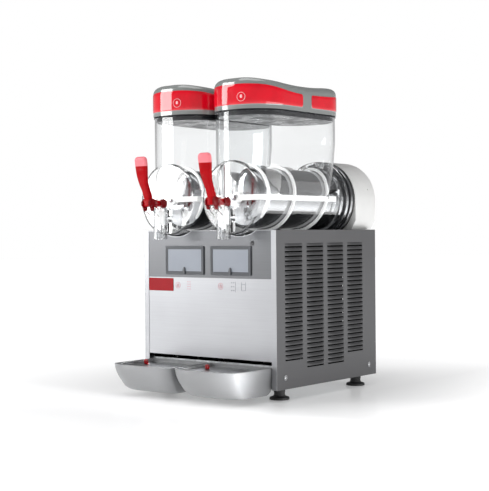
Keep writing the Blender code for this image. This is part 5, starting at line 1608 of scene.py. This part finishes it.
class SLUSH_OT_stage(bpy.types.Operator):
    """Sets the camera, the pale floor and the soft lights."""

    bl_idname = "slush.stage"
    bl_label = "Studio"

    def execute(self, context):
        stage = context.scene.slush_stage
        context.scene.view_settings.view_transform = "Standard"
        self.camera(context, stage)
        self.floor()
        self.world(context)
        for name, place, aim, wide, tall, strength, cone in LIGHTS:
            self.softbox(name, place, aim, wide, tall, getattr(stage, strength), cone)
        return {"FINISHED"}

    def camera(self, context, stage):
        data = bpy.data.cameras.new("studio_camera")
        data.lens, data.sensor_width, data.shift_y = stage.lens, 36.0, stage.shift
        data.clip_start, data.clip_end = 0.05, 60.0
        camera = bpy.data.objects.new("studio_camera", data)
        level = Euler((math.radians(90.0), 0.0, stage.turn)).to_matrix().to_4x4()
        turn = level @ Matrix.Rotation(stage.roll, 4, "Z")
        camera.matrix_world = Matrix.Translation(Vector(stage.camera)) @ turn
        context.scene.collection.objects.link(camera)
        context.scene.camera = camera

    def floor(self):
        """A wide disc whose rings grow outwards as the square of their number."""
        radius = (np.linspace(0.0, 1.0, 24) ** 2 * 14.0)[:, None]
        angle = np.linspace(0.0, math.tau, 64, endpoint=False)[None, :]
        grid = np.stack([radius * np.cos(angle), radius * np.sin(angle), 0.0 * radius * angle], axis=-1)
        points, faces = skin(grid, ends=False)
        mesh = bpy.data.meshes.new("floor")
        mesh.from_pydata(points.tolist(), [], faces)
        shape = bmesh.new()
        shape.from_mesh(mesh)
        bmesh.ops.remove_doubles(shape, verts=shape.verts, dist=1e-6)
        bmesh.ops.recalc_face_normals(shape, faces=shape.faces)
        if sum(face.normal.z for face in shape.faces) < 0:
            bmesh.ops.reverse_faces(shape, faces=shape.faces)
        shape.to_mesh(mesh)
        shape.free()
        floor = bpy.data.objects.new("studio_floor", mesh)
        bpy.context.scene.collection.objects.link(floor)
        tree, shader, place = new_finish("studio_floor")
        grain = noise(tree, place, 3.0, 2.0)
        add_to = blend_colours(tree, grain, (0.86, 0.865, 0.87, 1.0), (0.90, 0.90, 0.90, 1.0))
        tree.links.new(add_to, shader.inputs["Base Color"])
        shader.inputs["Roughness"].default_value = 0.22
        shader.inputs["Specular IOR Level"].default_value = 0.30
        far = add(tree, "VectorMath", {0: place}, operation="LENGTH").outputs["Value"]
        glow = spread(tree, far, 0.25, 1.1, 0.30, 1.0)
        right = spread(tree, add(tree, "SeparateXYZ", {0: place}).outputs[0], 0.24, 0.60, 0.0, 0.9)
        near = spread(tree, far, 0.9, 2.2, 1.0, 0.0)
        strength = maths(tree, "MULTIPLY", maths(tree, "ADD", maths(tree, "MULTIPLY", right, near), 1.0),
                         0.95)
        dimmed = maths(tree, "SUBTRACT", 1.0, maths(tree, "MULTIPLY", seen_directly(tree), 0.28))
        tree.links.new(maths(tree, "MULTIPLY", strength, dimmed), shader.inputs["Emission Strength"])
        tree.links.new(blend_colours(tree, glow, (0.0, 0.0, 0.0, 1.0), (1.0, 1.0, 1.0, 1.0)),
                       shader.inputs["Emission Color"])
        mesh.materials.append(FINISHES["studio_floor"])

    def world(self, context):
        """White behind the object; round it a studio that is bright at eye level and greyer above."""
        world = bpy.data.worlds.new("studio_world")
        world.use_nodes = True
        context.scene.world = world
        tree = world.node_tree
        tree.nodes.clear()
        place = tree.nodes.new("ShaderNodeTexCoord").outputs["Generated"]
        split = add(tree, "SeparateXYZ", {0: place})
        ramp = tree.nodes.new("ShaderNodeValToRGB")
        tree.links.new(spread(tree, split.outputs["Z"], -1.0, 1.0, 0.0, 1.0), ramp.inputs["Fac"])
        while len(ramp.color_ramp.elements) < len(WORLD_TONES):
            ramp.color_ramp.elements.new(0.5)
        for element, (at, value) in zip(ramp.color_ramp.elements, WORLD_TONES):
            element.position, element.color = at, (value, value, value * 1.01, 1.0)
        colour_out = blend_colours(tree, seen_directly(tree), ramp.outputs["Color"], (1.0, 1.0, 1.0, 1.0))
        background = tree.nodes.new("ShaderNodeBackground")
        tree.links.new(colour_out, background.inputs["Color"])
        output = tree.nodes.new("ShaderNodeOutputWorld")
        tree.links.new(background.outputs[0], output.inputs["Surface"])

    def softbox(self, name, place, aim, wide, tall, strength, cone):
        data = bpy.data.lights.new(name, "AREA")
        data.shape, data.size, data.size_y, data.energy = "RECTANGLE", wide, tall, strength
        data.spread = math.radians(cone)
        light = bpy.data.objects.new(name, data)
        direction = Vector(aim) - Vector(place)
        turn = direction.to_track_quat("-Z", "Y").to_matrix().to_4x4()
        light.matrix_world = Matrix.Translation(Vector(place)) @ turn
        bpy.context.scene.collection.objects.link(light)


OPERATORS = (SLUSH_OT_finishes, SLUSH_OT_sheets, SLUSH_OT_louvres, SLUSH_OT_front_trim, SLUSH_OT_feet,
             SLUSH_OT_bowls, SLUSH_OT_drums, SLUSH_OT_augers, SLUSH_OT_covers, SLUSH_OT_taps, SLUSH_OT_lids,
             SLUSH_OT_trays, SLUSH_OT_stage)


class SLUSH_PT_machine(bpy.types.Panel):
    """Lists the machine's settings and the steps that build it."""

    bl_idname = "SLUSH_PT_machine"
    bl_label = "Slush machine"
    bl_space_type = "VIEW_3D"
    bl_region_type = "UI"
    bl_category = "Slush machine"

    def draw(self, context):
        for name, group in SETTINGS.items():
            box = self.layout.box()
            box.label(text=name.replace("slush_", "").capitalize())
            for setting in group.__annotations__:
                box.prop(getattr(context.scene, name), setting)
        for operator in OPERATORS:
            self.layout.operator(operator.bl_idname)


def register():
    for kind in (*SETTINGS.values(), *OPERATORS, SLUSH_PT_machine):
        bpy.utils.register_class(kind)
    for name, group in SETTINGS.items():
        setattr(bpy.types.Scene, name, bpy.props.PointerProperty(type=group))


def unregister():
    for name in SETTINGS:
        delattr(bpy.types.Scene, name)
    for kind in (SLUSH_PT_machine, *reversed(OPERATORS), *reversed(SETTINGS.values())):
        bpy.utils.unregister_class(kind)


def main():
    register()
    for operator in OPERATORS:
        group, name = operator.bl_idname.split(".")
        if "FINISHED" not in getattr(getattr(bpy.ops, group), name)():
            raise RuntimeError(f"{operator.bl_label} didn't finish")


if __name__ == "__main__":
    main()
